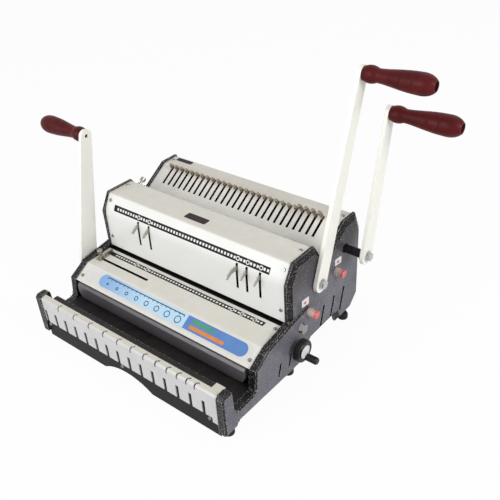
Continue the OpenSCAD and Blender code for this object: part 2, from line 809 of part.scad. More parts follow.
// Closing jaw, racks and the teeth that drive all three slides
jaw_top = low_edge_z - 3;
jaw_half_w = half_w - 8;
module closing_jaw() {
    color("#2a2a2e") intersection() {
        along_x(-jaw_half_w, jaw_half_w)
            polygon([[jaw_y + 2, trough_z + 1], [jaw_y + jaw_t, trough_z + 1],
                     [jaw_y + jaw_t, jaw_top], [jaw_y + 3, jaw_top],
                     [jaw_y, jaw_top - 4], [jaw_y, trough_z + 6]]);
        translate([0, jaw_y + jaw_t + 1, 0]) rotate([90, 0, 0]) linear_extrude(jaw_t + 2) union() {
            for (side = [-1, 1])
                translate([side * (jaw_half_w - jaw_r), trough_z + 1 + jaw_r]) circle(r = jaw_r);
            translate([-jaw_half_w, trough_z + 1 + jaw_r])
                square([2 * jaw_half_w, jaw_top - trough_z]);
            translate([-jaw_half_w + jaw_r, trough_z])
                square([2 * (jaw_half_w - jaw_r), jaw_top - trough_z]);
        }
    }
}

function inv(a) = tan(a) - a * PI / 180;
base_r = pitch_r * cos(pressure_a);
tip_r = pitch_r + addendum;
root_r = pitch_r - dedendum;
// Half angle of a pinion tooth at radius r
function half_tooth(r) =
    (PI / (2 * pinion_n) - backlash / pitch_r + inv(pressure_a)
     - inv(acos(min(1, base_r / r)))) * 180 / PI;
flank = [root_r, for (s = [0:4]) base_r + (tip_r - base_r) * s / 4];
function polar(r, a) = [r * sin(a), r * cos(a)];
pinion_points = [
    for (i = [0:pinion_n - 1]) let (mid = i * 360 / pinion_n) each concat(
        [for (r = flank) polar(r, mid - half_tooth(max(r, base_r)))],
        [for (s = [len(flank) - 1:-1:0]) polar(flank[s], mid + half_tooth(max(flank[s], base_r)))])
];

// Rack whose pitch line touches a pinion at c, with room for the travel
module rack_2d(k) {
    c = shaft_l[k];
    up = ceil(travel[k] / pitch_l);
    line = c[1] + pitch_r;
    tip = pitch_l / 4 - backlash - addendum * tan(pressure_a);
    root = pitch_l / 4 - backlash + dedendum * tan(pressure_a);
    depth = k == CLOSER ? jaw_top + 0.5 - line : rack_body;
    translate([c[0] - (rack_lead[k] - 0.15) * pitch_l, line + dedendum])
        square([(up + rack_lead[k] - 0.15) * pitch_l, depth - dedendum]);
    for (i = [-rack_lead[k]:up - 1]) translate([c[0] + (i + 0.5) * pitch_l, line])
        polygon([[-root, dedendum + eps], [-tip, -addendum], [tip, -addendum],
                 [root, dedendum + eps]]);
}

module both_racks() {
    for (side = [0, 1]) mirror([side, 0, 0]) along_x(rack_x, rack_x + rack_t) children();
}

module punch_racks(k) {
    base = shaft_l[k][1] + pitch_r + dedendum;
    color("#8f9095") punch_frame(k) both_racks() {
        rack_2d(k);
        translate([tab_y[k] - bar_h / 2, base])
            square([bar_h, max(bar_z + bar_t, shaft_l[k][1] + pitch_r + rack_body) - base]);
    }
}
module front_racks() punch_racks(FRONT);
module rear_racks() punch_racks(REAR);

module closer_racks() {
    line = shaft_l[CLOSER][1] + pitch_r;
    heel = jaw_y + jaw_t;
    heel_w = 0.6 * (shaft_l[CLOSER][0] - tip_r - heel);
    color("#8f9095") both_racks() {
        rack_2d(CLOSER);
        translate([heel, line + dedendum])
            square([shaft_l[CLOSER][0] - heel - pitch_l, jaw_top + 0.5 - line - dedendum]);
        translate([heel, trough_z + 9]) square([heel_w, jaw_top + 0.5 - trough_z - 9]);
    }
}

// Punch bars, pins, dies and guides
module pressure_bar(k, xs) {
    color("#77787d") punch_frame(k) difference() {
        punch_box(0, 2 * bar_half_w, tab_y[k] - bar_h / 2, tab_y[k] + bar_h / 2,
                  bar_z, bar_z + bar_t);
        for (x = xs)
            punch_box(x, tab_t + 2 * tab_fit, tab_y[k] - tab_h / 2 - tab_fit,
                      tab_y[k] + tab_h / 2 + tab_fit, bar_z + 1 - tab_fit, 1);
    }
}
module front_pressure_bar() pressure_bar(FRONT, front_tab_x);
module rear_pressure_bar() pressure_bar(REAR, rear_tab_x);

// Row of coil pins, or of the holes that they pass through
module coil_row(r, y0, y1) {
    punch_frame(FRONT) for (i = [0:coil_count - 1])
        translate([coil_x0 + i * coil_pitch, y0, -pin_depth]) rotate([-90, 0, 0])
            cylinder(r = r, h = y1 - y0, $fn = 24);
}
module wire_row(grow, y0, y1) {
    punch_frame(REAR) for (x = rear_tab_x)
        punch_box(x, wire_pin_w + 2 * grow, y0, y1, -pin_depth - wire_pin_d / 2 - grow,
                  -pin_depth + wire_pin_d / 2 + grow);
}
module front_punch_pins() {
    color("#b9babf") coil_row(coil_pin_d / 2, pin_tip, tab_y[FRONT] - bar_h / 2);
}
module rear_punch_pins() {
    color("#b9babf") wire_row(0, pin_tip, tab_y[REAR] - bar_h / 2);
}

module die_plate(k) punch_frame(k) punch_box(0, inner_w, -die_t, 0, -die_depth, die_lip);
module pin_guide(k)
    punch_frame(k) punch_box(0, inner_w, throat, throat + guide_t, -die_depth, -sheet_t - 0.2);

module front_die_plate() {
    color("#26262a") difference() {
        die_plate(FRONT);
        coil_row(coil_pin_d / 2 + pin_fit, -die_t - 1, 1);
    }
}
module front_pin_guide() {
    color("#26262a") difference() {
        pin_guide(FRONT);
        coil_row(coil_pin_d / 2 + pin_fit, throat - 1, throat + guide_t + 1);
    }
}
module rear_die_plate() {
    color("#26262a") difference() {
        die_plate(REAR);
        wire_row(pin_fit, -die_t - 1, 1);
    }
}
module rear_pin_guide() {
    color("#26262a") difference() {
        pin_guide(REAR);
        wire_row(pin_fit, throat - 1, throat + guide_t + 1);
    }
}

// Selectors: flat blades that pass through a slit into their bar
module blade(k, x, out) {
    punch_frame(k) translate([x - tab_t / 2, 0, 0]) rotate([90, 0, 90]) linear_extrude(tab_t)
        union() {
            translate([tab_y[k] - tab_h / 2, bar_z + 1])
                square([tab_h, out - tab_h / 2 - bar_z - 1]);
            translate([tab_y[k], out - tab_h / 2]) circle(d = tab_h);
        }
}

// Front selector, whose handle droops outside the cover
module front_selector(i) {
    knee = 3;
    root = [tab_y[FRONT] - tab_h / 2, knee];
    color("#a39d86") translate([0, i == front_pulled ? -tab_pull : 0, 0])
        punch_frame(FRONT) translate([front_tab_x[i] - tab_t / 2, 0, 0]) rotate([90, 0, 90])
        linear_extrude(tab_t) union() {
            translate([root[0], bar_z + 1]) square([tab_h, knee - bar_z - 1]);
            translate(root) rotate(tab_droop) {
                translate([0, -knee]) square([tab_h - 1, front_tab_out - tab_h / 2]);
                translate([(tab_h - 1) / 2, front_tab_out - tab_h / 2 - knee])
                    circle(d = tab_h - 1);
            }
        }
}
module front_selector_1() front_selector(0);
module front_selector_2() front_selector(1);
module front_selector_3() front_selector(2);
module front_selector_4() front_selector(3);
module front_selector_5() front_selector(4);

module rear_selector(x, out) {
    blade(REAR, x, out);
    punch_frame(REAR) translate([x, tab_y[REAR], out - 6])
        cylinder(d1 = bead_d - 1, d2 = bead_d, h = 6.5);
}
module rear_selectors() {
    color("#8a6a48") for (i = [0:wire_count - pulled_count - 1])
        rear_selector(rear_tab_x[i], rear_tab_out);
}
module rear_selectors_pulled() {
    color("#8a6a48") for (i = [wire_count - pulled_count:wire_count - 1])
        translate([0, tab_pull * slope_out[0], tab_pull * slope_out[1]])
            rear_selector(rear_tab_x[i], rear_tab_out);
}

// Levers, each in a frame at its shaft with X outwards and Z along the bar
module lever_frame(k) {
    translate([lever_side[k] * lever_x[k], shaft_p[k][0], shaft_p[k][1]])
        mirror([lever_side[k] > 0 ? 0 : 1, 0, 0]) rotate([-lean[k], 0, 0]) children();
}

// Bar that tapers between two round ends, with straight sides that touch both
module lever_bar(k) {
    l = lever_l[k];
    tilt = asin((lever_r[k] - lever_tip_r) / l);
    color("#efece0") lever_frame(k) along_x(0, lever_t) difference() {
        polygon(concat(arc_points([0, 0], lever_r[k], 180 - tilt, 360 + tilt, 32),
                       arc_points([0, l], lever_tip_r, tilt, 180 - tilt, 32)));
        circle(r = spigot_r + press_fit);
        translate([0, l]) circle(r = stud_r + press_fit);
    }
}
module front_lever() lever_bar(FRONT);
module rear_lever() lever_bar(REAR);
module closer_lever() lever_bar(CLOSER);

washer_r = 9;
washer_t = 1.5;
hex_r = 7.5;
hex_h = 5;
module lever_bolt(k) {
    color("#b4b6ba") lever_frame(k) translate([lever_t, 0, 0]) rotate([0, 90, 0]) {
        cylinder(r = washer_r, h = washer_t);
        translate([0, 0, washer_t - eps]) cylinder(r = hex_r, h = hex_h, $fn = 6);
        translate([0, 0, 0.2 - bolt_l]) cylinder(r = bolt_r, h = bolt_l);
    }
}
module front_lever_bolt() lever_bolt(FRONT);
module rear_lever_bolt() lever_bolt(REAR);
module closer_lever_bolt() lever_bolt(CLOSER);

// Radius of a grip along its length: bulb, neck, swell and rounded end
neck_x = 22;
swell_x = 0.82 * grip_l;
ring_x = [0.556 * grip_l, 0.724 * grip_l];
ring_deep = 0.5;
recess_r = 0.45 * grip_r;
function grip_radius(x) =
    x < neck_x ? grip_neck_r + (grip_bulb_r - grip_neck_r) * sin(180 * x / neck_x) :
    x < swell_x ? grip_neck_r + (grip_r - grip_neck_r)
        * (1 - cos(180 * pow((x - neck_x) / (swell_x - neck_x), 0.8))) / 2 :
    grip_r * sqrt(max(0, 1 - pow((x - swell_x) / (grip_l - swell_x) * 0.85, 2)));
grip_points = concat(
    [[0, 0.01], [grip_neck_r - 0.8, 0.01]],
    [for (s = [0:8]) let (x = 0.6 + (neck_x - 0.6) * s / 8) [grip_radius(x), x]],
    [for (s = [1:5]) let (x = neck_x + (ring_x[0] - 1 - neck_x) * s / 5) [grip_radius(x), x]],
    [[grip_radius(ring_x[0]) - ring_deep, ring_x[0]]],
    [for (s = [0:3]) let (x = ring_x[0] + 1 + (ring_x[1] - ring_x[0] - 2) * s / 3)
        [grip_radius(x), x]],
    [[grip_radius(ring_x[1]) - ring_deep, ring_x[1]], [grip_radius(ring_x[1] + 1), ring_x[1] + 1]],
    [for (s = [0:6]) let (x = swell_x + (grip_l - swell_x) * s / 6) [grip_radius(x), x]],
    [[recess_r, grip_l], [recess_r - 0.5, grip_l - 4], [0, grip_l - 4]]);
module grip(k) {
    color("#6b2a22") lever_frame(k) translate([lever_t, 0, lever_l[k]]) rotate([0, 90, 0]) {
        rotate_extrude() polygon(grip_points);
        translate([0, 0, 2 - lever_t]) cylinder(r = stud_r, h = lever_t);
    }
}
module front_grip() grip(FRONT);
module rear_grip() grip(REAR);
module closer_grip() grip(CLOSER);

// Shaft with its pinions and the spigot that carries the lever
module lever_shaft(k) {
    collar_r = shaft_d / 2 + 3;
    collar_w = min(4, lever_x[k] - plate_x - 1);
    color("#55565a") difference() {
        union() {
            punch_frame(k) translate([0, shaft_l[k][0], shaft_l[k][1]])
                for (side = [0, 1]) mirror([side, 0, 0])
                along_x(rack_x + (rack_t - pinion_w) / 2, rack_x + (rack_t + pinion_w) / 2)
                polygon(pinion_points);
            mirror([lever_side[k] > 0 ? 0 : 1, 0, 0]) {
                rod_x(shaft_p[k], shaft_d / 2, -plate_x, lever_x[k]);
                rod_x(shaft_p[k], spigot_r, lever_x[k] - 1, lever_x[k] + lever_t - 0.2);
                if (k != CLOSER)
                    rod_x(shaft_p[k], collar_r, lever_x[k] - collar_w, lever_x[k]);
            }
        }
        lever_frame(k) translate([lever_t - bolt_l - 1, 0, 0]) rotate([0, 90, 0])
            cylinder(r = bolt_r + press_fit, h = bolt_l + 2);
    }
}
module front_punch_shaft() lever_shaft(FRONT);
module rear_punch_shaft() lever_shaft(REAR);
module closer_shaft() lever_shaft(CLOSER);

// Wire size crank on the right
crank_x = lap_x + 6;
cam_x = half_w - 38;
cam_w = 8;
cam_throw = 4;
peg_at = crank_p + [peg_reach * sin(15), -peg_reach * cos(15)];
peg_pin_r = 2.5;
module size_crank() {
    color("#161618") difference() {
        union() {
            rod_x(crank_p, crank_d / 2, crank_x + 2, crank_x + crank_t - 1.5);
            translate([crank_x, crank_p[0], crank_p[1]]) rotate([0, 90, 0])
                cylinder(r1 = crank_d / 2 - 4, r2 = crank_d / 2, h = 2 + eps);
            translate([crank_x + crank_t - 1.5 - eps, crank_p[0], crank_p[1]]) rotate([0, 90, 0])
                cylinder(r1 = crank_d / 2, r2 = crank_d / 2 - 1.5, h = 1.5 + eps);
        }
        rod_x(crank_p, crank_shaft_d / 2 + press_fit, crank_x - 1, crank_x + crank_t / 2);
        rod_x(peg_at, peg_pin_r + run_fit, crank_x + crank_t - 7, crank_x + crank_t + 1);
    }
}
module crank_peg() {
    x0 = crank_x + crank_t + slide_gap;
    color("#161618") {
        rod_x(peg_at, peg_d / 2, x0 + 1 - eps, x0 + peg_l - 2);
        translate([x0, peg_at[0], peg_at[1]]) rotate([0, 90, 0])
            cylinder(r1 = peg_d / 2 - 1, r2 = peg_d / 2, h = 1);
        translate([x0 + peg_l - 2 - eps, peg_at[0], peg_at[1]]) rotate([0, 90, 0])
            cylinder(r1 = peg_d / 2, r2 = peg_d / 2 - 1.5, h = 2);
        rod_x(peg_at, peg_pin_r, x0 - 6, x0 + eps);
    }
}
module crank_shaft() {
    color("#55565a") {
        rod_x(crank_p, crank_shaft_d / 2, cam_x - 2, crank_x + crank_t / 2 - 0.2);
        rod_x(crank_p - [0, cam_throw], cam_r, cam_x, cam_x + cam_w);
    }
}

// Margin rods with their eccentric stops, and the knobs that turn them
stop_half_w = bar_half_w - 15;
module margin_rod(k) {
    color("#7b7c81") {
        rod_x(margin_p[k], margin_rod_d / 2, -plate_x, margin_x[k] + 0.5);
        rod_x(margin_p[k] - [0, stop_throw], stop_r, -stop_half_w, stop_half_w);
        rod_x(margin_p[k], margin_rod_d / 2 - 1, margin_x[k], margin_x[k] + margin_knob_l / 2);
    }
}
module front_margin_rod() margin_rod(FRONT);
module rear_margin_rod() margin_rod(REAR);

module margin_knob(k) {
    x0 = margin_x[k] + 0.5;
    x1 = x0 + margin_knob_l;
    r = margin_knob_d / 2;
    color("#9a9692") difference() {
        union() {
            rod_x(margin_p[k], r, x0, x0 + 5);
            rod_x(margin_p[k], r - 0.8, x0 + 5 - eps, x1 - 5 + eps);
            rod_x(margin_p[k], r, x1 - 5, x1 - 1);
            translate([x1 - 1 - eps, margin_p[k][0], margin_p[k][1]]) rotate([0, 90, 0])
                cylinder(r1 = r, r2 = r - 1, h = 1 + eps);
        }
        rod_x(margin_p[k], margin_rod_d / 2 - 1 + press_fit, x0 - 1,
              margin_x[k] + margin_knob_l / 2 + 0.2);
    }
}
module front_margin_knob() margin_knob(FRONT);
module rear_margin_knob() margin_knob(REAR);

// Edge guides on the two tables, in the frame of their slot
strip_w = 10;
strip_t = 1.6;
strip_back = 8;
module edge_guide(k) {
    translate([guide_x[k], 0, slide_gap]) difference() {
        union() {
            translate([-strip_w / 2, -strip_back, 0]) cube([strip_w, guide_l, strip_t]);
            translate([strip_w / 2 - strip_t, thumb_d / 2 + 1, 0])
                cube([strip_t, guide_l - strip_back - thumb_d / 2 - 1, fence_h]);
        }
        translate([0, 0, -1]) cylinder(r = stem_r + run_fit, h = strip_t + 2);
    }
}
module guide_screw(k) {
    top = slide_gap + strip_t;
    translate([guide_x[k], 0, 0]) {
        translate([0, 0, -sheet_t - slide_gap - 3]) cylinder(d = 8, h = 3);
        translate([0, 0, -sheet_t - slide_gap - eps])
            cylinder(r = stem_r, h = top + sheet_t + slide_gap + 1);
        translate([0, 0, top + 0.1]) cylinder(d = thumb_d - 1, h = 4);
        translate([0, 0, top + 4]) cylinder(d = thumb_d / 2, h = 7);
        translate([0, 0, top + 10]) cylinder(d = thumb_d, h = 6);
        translate([0, 0, top + 16 - eps]) cylinder(d1 = thumb_d, d2 = thumb_d - 2, h = 1);
    }
}
module front_edge_guide() {
    color("#b59a5f") front_guide_frame() edge_guide(FRONT);
}
module front_guide_screw() {
    color("#b59a5f") front_guide_frame() guide_screw(FRONT);
}
module rear_edge_guide() {
    color("#b59a5f") rear_guide_frame() edge_guide(REAR);
}
module rear_guide_screw() {
    color("#b59a5f") rear_guide_frame() guide_screw(REAR);
}

// Chip tray: a drawer under the dies that pulls out at the back
thumb_cut_r = 22;
thumb_cut_up = 8;
module chip_tray() {
    z0 = base_z + base_t + slide_gap;
    y1 = back_in - 3;
    color("#6f7074") {
        difference() {
            translate([-tray_half_w, tray_y, z0]) cube([2 * tray_half_w, y1 - tray_y + eps, tray_h]);
            translate([-tray_half_w + tray_wall, tray_y + tray_wall, z0 + tray_wall])
                cube([2 * (tray_half_w - tray_wall), y1 - tray_y - tray_wall, tray_h]);
        }
        difference() {
            translate([-half_w + 1, y1, z0]) cube([inner_w - 2, 3, tray_front_top - z0]);
            translate([0, y1 - 1, tray_front_top + thumb_cut_up]) rotate([-90, 0, 0])
                cylinder(r = thumb_cut_r, h = 5);
        }
    }
}

placed() left_side_plate();
placed() right_side_plate();
placed() left_closer_plate();
placed() right_closer_plate();
placed() base_plate();
placed() lower_cover();
placed() upper_cover();
placed() rear_cover();
placed() front_panel();
placed() gauge_plate();
placed() anvil_bar();
placed() trough_floor();
placed() front_die_plate();
placed() front_pin_guide();
placed() rear_die_plate();
placed() rear_pin_guide();
placed() feet();
placed() cover_screws();
placed() side_bolts();
placed() shaft_bushes();
placed() front_lever();
placed() front_lever_bolt();
placed() front_grip();
placed() front_punch_shaft();
placed() front_pressure_bar();
placed() front_racks();
placed() front_punch_pins();
placed() front_selector_1();
placed() front_selector_2();
placed() front_selector_3();
placed() front_selector_4();
placed() front_selector_5();
placed() rear_lever();
placed() rear_lever_bolt();
placed() rear_grip();
placed() rear_punch_shaft();
placed() rear_pressure_bar();
placed() rear_racks();
placed() rear_punch_pins();
placed() rear_selectors();
placed() rear_selectors_pulled();
placed() closer_lever();
placed() closer_lever_bolt();
placed() closer_grip();
placed() closer_shaft();
placed() closing_jaw();
placed() closer_racks();
placed() size_crank();
placed() crank_peg();
placed() crank_shaft();
placed() front_margin_rod();
placed() front_margin_knob();
placed() rear_margin_rod();
placed() rear_margin_knob();
placed() front_edge_guide();
placed() front_guide_screw();
placed() rear_edge_guide();
placed() rear_guide_screw();
placed() chip_tray();
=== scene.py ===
"""Looks of a coil and wire binding machine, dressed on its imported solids.

Lengths are in millimetres in the machine's own frame: X to the right from midway between the
side plates, Y to the back from the front of the gauge plate, Z up, with the underside of the
base plate at BASE_Z. at() carries them into the row's frame in metres. Values that shaders take
as lengths are in metres.
"""
import math

import bpy
import numpy as np
from mathutils import Matrix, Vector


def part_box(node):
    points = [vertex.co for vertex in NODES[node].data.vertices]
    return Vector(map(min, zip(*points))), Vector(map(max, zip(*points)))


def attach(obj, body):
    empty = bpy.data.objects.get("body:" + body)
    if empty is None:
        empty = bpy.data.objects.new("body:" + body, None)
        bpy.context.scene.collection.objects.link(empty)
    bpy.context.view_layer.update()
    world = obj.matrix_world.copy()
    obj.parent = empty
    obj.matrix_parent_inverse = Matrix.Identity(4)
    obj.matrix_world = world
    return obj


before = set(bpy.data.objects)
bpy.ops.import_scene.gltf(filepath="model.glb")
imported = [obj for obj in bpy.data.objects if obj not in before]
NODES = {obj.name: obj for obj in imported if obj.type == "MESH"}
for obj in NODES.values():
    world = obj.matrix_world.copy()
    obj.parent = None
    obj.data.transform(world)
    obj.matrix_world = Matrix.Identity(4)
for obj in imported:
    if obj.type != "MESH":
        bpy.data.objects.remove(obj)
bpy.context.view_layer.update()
MM = 0.001
BASE_Z = 30
ORIGIN = np.array([(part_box("left_side_plate")[0].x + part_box("right_side_plate")[1].x) / 2,
                   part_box("gauge_plate")[0].y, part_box("base_plate")[0].z - BASE_Z * MM])


def at(points):
    """Machine millimetres to row metres: the origin plus a thousandth of the point."""
    return ORIGIN + MM * np.asarray(points, float)


def ends(node):
    """Low and high corner of a node's box, in machine millimetres."""
    return tuple((np.array(corner) - ORIGIN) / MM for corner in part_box(node))


def middle_of(node):
    """Middle of a node's box, in machine millimetres: half the sum of its corners."""
    low, high = ends(node)
    return (low + high) / 2


# Shapes

# Folded covers, as (depth, height) points and the radius of each inner fold
UPPER_COVER = ([(164, 106.6), (165, 178), (181, 206), (234, 205)], [40, 4])
TABLE_COVER = ([(74.5, 82), (106, 100.5), (158, 102)], [4])
LAYER = 0.12                # height of one layer of print above its cover
NEAR = 0.2                  # half of the run over which a cover's slope is taken
FOLD_STEPS = 12
BAND_STEPS, BAND_ROWS, ROUND_STEPS = 24, 8, 12
RING_STEPS = 32
PLATE_STEPS = 64


def bent_path(points, radii):
    """Path with round folds: each inner corner becomes an arc that touches both of its legs.
    The arc's centre lies on the inner side, a radius away from the point where it starts."""
    p = np.array(points, float)
    rows = [p[:1]]
    for corner, radius in enumerate(radii, 1):
        a, b = p[corner] - p[corner - 1], p[corner + 1] - p[corner]
        a, b = a / np.linalg.norm(a), b / np.linalg.norm(b)
        way = np.sign(a[0] * b[1] - a[1] * b[0])
        turn = math.acos(np.clip(a @ b, -1, 1))
        start = p[corner] - radius * math.tan(turn / 2) * a
        arm = -way * radius * np.array([-a[1], a[0]])
        t = way * np.linspace(0, turn, FOLD_STEPS + 1)[:, None]
        spun = np.hstack([arm[0] * np.cos(t) - arm[1] * np.sin(t),
                          arm[0] * np.sin(t) + arm[1] * np.cos(t)])
        rows.append(start - arm + spun)
    rows.append(p[-1:])
    return np.vstack(rows)


def on_cover(cover, x, s, layer):
    """Points on a cover: the path's point at arc length s, moved across to x and off the
    surface by a number of layers along the path's left normal."""
    path = bent_path(*cover)
    legs = np.linalg.norm(np.diff(path, axis=0), axis=1)
    length = np.concatenate([[0], np.cumsum(legs)])
    x, s = np.broadcast_arrays(np.asarray(x, float), np.asarray(s, float))

    def along(way):
        return np.stack([np.interp(way, length, path[:, i]) for i in (0, 1)], -1)

    run = along(s + NEAR) - along(s - NEAR)
    run /= np.linalg.norm(run, axis=-1, keepdims=True)
    out = np.stack([-run[..., 1], run[..., 0]], -1)
    return at(np.concatenate([x[..., None], along(s) + layer * LAYER * out], -1))


def piece(name, points, faces, finish, body):
    """Mesh object at the origin from points and faces of three or four corners, on a body."""
    mesh = bpy.data.meshes.new(name)
    corners = [tuple(map(int, face)) for face in faces]
    mesh.from_pydata(points.reshape(-1, 3).tolist(), [], corners)
    mesh.update()
    mesh.materials.append(finish)
    made = bpy.data.objects.new(name, mesh)
    bpy.context.scene.collection.objects.link(made)
    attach(made, body)


def grid_faces(nu, nv, wrap=False):
    """Quads that join each grid point with its neighbours; wrap closes the second way round."""
    u = np.arange(nu - 1)[:, None] * nv
    v = np.arange(nv if wrap else nv - 1)[None, :]
    w = (v + 1) % nv
    return np.stack([u + v, u + nv + v, u + nv + w, u + w], -1).reshape(-1, 4)


def band(name, cover, sides, edges, finish, slot, rounds=(0.0, 0.0), layer=1):
    """Print on a cover: a strip between two sides along X and two edges along the cover, whose
    half height shrinks as a quarter circle within the rounds of its left and right side."""
    (x0, x1), (s0, s1) = sides, edges
    bow = 1 - np.cos(np.linspace(0, np.pi / 2, ROUND_STEPS + 1))
    x = np.unique(np.concatenate([np.linspace(x0, x1, BAND_STEPS + 1),
                                  x0 + rounds[0] * bow, x1 - rounds[1] * bow]))
    half = np.full_like(x, (s1 - s0) / 2)
    for inset, radius in ((x - x0, rounds[0]), (x1 - x, rounds[1])):
        if radius:
            inside = np.clip(1 - inset / radius, 0, 1)
            half -= radius * (1 - np.sqrt(1 - inside ** 2))
    v = np.linspace(-1, 1, BAND_ROWS + 1)
    points = on_cover(cover, x[:, None], (s0 + s1) / 2 + half[:, None] * v, layer)
    piece(name, points, grid_faces(len(x), len(v)), finish, "frame")


def marks(name, cover, centres, width, edges, finish, layer=2):
    """Row of small rectangles printed on a cover, half a width to each side of each centre."""
    s0, s1 = edges
    x = centres[:, None] + width * np.array([-0.5, 0.5, 0.5, -0.5])
    points = on_cover(cover, x, np.array([s0, s0, s1, s1]), layer)
    piece(name, points, np.arange(x.size).reshape(-1, 4), finish, "frame")


def rings(name, cover, centres, s, radii, wall, finish, layer=2):
    """Printed circles: each is a band between its radius and its radius less the wall."""
    turn = np.linspace(0, 2 * np.pi, RING_STEPS, endpoint=False)
    edge = np.stack([radii, radii - wall], -1)[..., None]
    x = centres[:, None, None] + edge * np.cos(turn)
    points = on_cover(cover, x, s + edge * np.sin(turn), layer)
    one = grid_faces(2, RING_STEPS, wrap=True)[:, ::-1]
    first = 2 * RING_STEPS * np.arange(len(centres))
    piece(name, points, (one + first[:, None, None]).reshape(-1, 4), finish, "frame")


def plate(name, centre, across, up, half, power, rows, finish, body):
    """Thin plate with a superellipse outline: the outline is scaled by each row's share and
    raised by each row's height, from the rim at the seat inwards, and a fan closes the face."""
    across, up = (np.array(a, float) / np.linalg.norm(a) for a in (across, up))
    out = np.cross(across, up)
    t = np.linspace(0, 2 * np.pi, PLATE_STEPS, endpoint=False)
    u, v = (size * np.sign(f(t)) * np.abs(f(t)) ** (2 / power)
            for size, f in zip(half, (np.cos, np.sin)))
    outline = u[:, None] * across + v[:, None] * up
    share, height = np.array(rows).T
    middle = np.asarray(centre, float)
    wall = middle + share[:, None, None] * outline + height[:, None, None] * out
    points = at(np.vstack([wall.reshape(-1, 3), middle + height[-1] * out]))
    sides = grid_faces(len(share), PLATE_STEPS, wrap=True)[:, ::-1]
    last = (len(share) - 1) * PLATE_STEPS + np.arange(PLATE_STEPS)
    fan = np.stack([np.roll(last, -1), np.full(PLATE_STEPS, len(points) - 1), last], -1)
    piece(name, points, sides.tolist() + fan.tolist(), finish, body)


# Shared effects

def add(tree, kind, **values):
    """Node of a kind, with its properties and then its input values set by name."""
    node = tree.nodes.new("ShaderNode" + kind)
    for key, value in values.items():
        if hasattr(node, key):
            setattr(node, key, value)
        else:
            node.inputs[key.replace("_", " ")].default_value = value
    return node


def wire(tree, *links):
    """Links, each as a node, its output, the next node and its input, by name or number."""
    for node, output, target, socket in links:
        tree.links.new(node.outputs[output], target.inputs[socket])


def effect(name, inputs, outputs):
    """Empty shader node group with named number inputs and outputs: the group, the object's
    coordinates, the group's inputs and its outputs."""
    tree = bpy.data.node_groups.new(name, "ShaderNodeTree")
    number = "NodeSocketFloat"
    for label, value in inputs.items():
        socket = tree.interface.new_socket(label, in_out="INPUT", socket_type=number)
        socket.default_value = value
    for label in outputs:
        tree.interface.new_socket(label, in_out="OUTPUT", socket_type=number)
    start, end = (tree.nodes.new(kind) for kind in ("NodeGroupInput", "NodeGroupOutput"))
    return tree, add(tree, "TexCoord"), start, end


def build_mottle():
    """Slow change of tone: noise in octaves, stretched to the full range."""
    tree, place, start, end = effect("mottle", {"Scale": 30.0}, ["Value"])
    noise = add(tree, "TexNoise", Detail=4.0, Roughness=0.6)
    spread = add(tree, "MapRange", From_Min=0.32, From_Max=0.68)
    wire(tree,
         (place, "Object", noise, "Vector"),
         (start, "Scale", noise, "Scale"),
         (noise, "Fac", spread, "Value"),
         (spread, "Result", end, "Value"))
    return tree


def build_peel():
    """Skin of a sprayed coat: fine noise as a height."""
    tree, place, start, end = effect("peel", {"Scale": 900.0}, ["Height"])
    noise = add(tree, "TexNoise", Detail=2.0, Roughness=0.45)
    wire(tree,
         (place, "Object", noise, "Vector"),
         (start, "Scale", noise, "Scale"),
         (noise, "Fac", end, "Height"))
    return tree


def build_rub():
    """Wear along edges, and on the hammered plates painted highlights along the ridges: how far a
    rounded normal turns from the true one, broken by noise.
    """
    inputs = {"Radius": 0.0012, "Amount": 0.5, "Grain": 420.0}
    tree, place, start, end = effect("edge_wear_and_highlight", inputs, ["Mask"])
    true = add(tree, "NewGeometry")
    soft = add(tree, "Bevel", samples=6)
    same = add(tree, "VectorMath", operation="DOT_PRODUCT")
    edge = add(tree, "MapRange", From_Min=0.995, From_Max=0.93)
    noise = add(tree, "TexNoise", Detail=4.0, Roughness=0.65)
    grit = add(tree, "MapRange", From_Min=0.5, From_Max=0.58)
    both = add(tree, "Math", operation="MULTIPLY")
    scaled = add(tree, "Math", operation="MULTIPLY", use_clamp=True)
    wire(tree,
         (start, "Radius", soft, "Radius"),
         (soft, "Normal", same, 0),
         (true, "Normal", same, 1),
         (same, "Value", edge, "Value"),
         (place, "Object", noise, "Vector"),
         (start, "Grain", noise, "Scale"),
         (noise, "Fac", grit, "Value"),
         (edge, "Result", both, 0),
         (grit, "Result", both, 1),
         (both, "Value", scaled, 0),
         (start, "Amount", scaled, 1),
         (scaled, "Value", end, "Mask"))
    return tree


def build_dust():
    """Dust that settles, and on the covers and the gauge plate a painted warm shade of their
    tops: faces that look up, in patches where noise is above the bare level.
    """
    tree, place, start, end = effect("dust", {"Amount": 0.2, "Bare": 0.4}, ["Mask"])
    true = add(tree, "NewGeometry")
    split = add(tree, "SeparateXYZ")
    up = add(tree, "MapRange", From_Min=0.55, From_Max=1.0)
    noise = add(tree, "TexNoise", Scale=55.0, Detail=6.0, Roughness=0.65)
    patch = add(tree, "MapRange", From_Max=0.75)
    both = add(tree, "Math", operation="MULTIPLY")
    scaled = add(tree, "Math", operation="MULTIPLY", use_clamp=True)
    wire(tree,
         (true, "Normal", split, "Vector"),
         (split, "Z", up, "Value"),
         (place, "Object", noise, "Vector"),
         (noise, "Fac", patch, "Value"),
         (start, "Bare", patch, "From Min"),
         (up, "Result", both, 0),
         (patch, "Result", both, 1),
         (both, "Value", scaled, 0),
         (start, "Amount", scaled, 1),
         (scaled, "Value", end, "Mask"))
    return tree


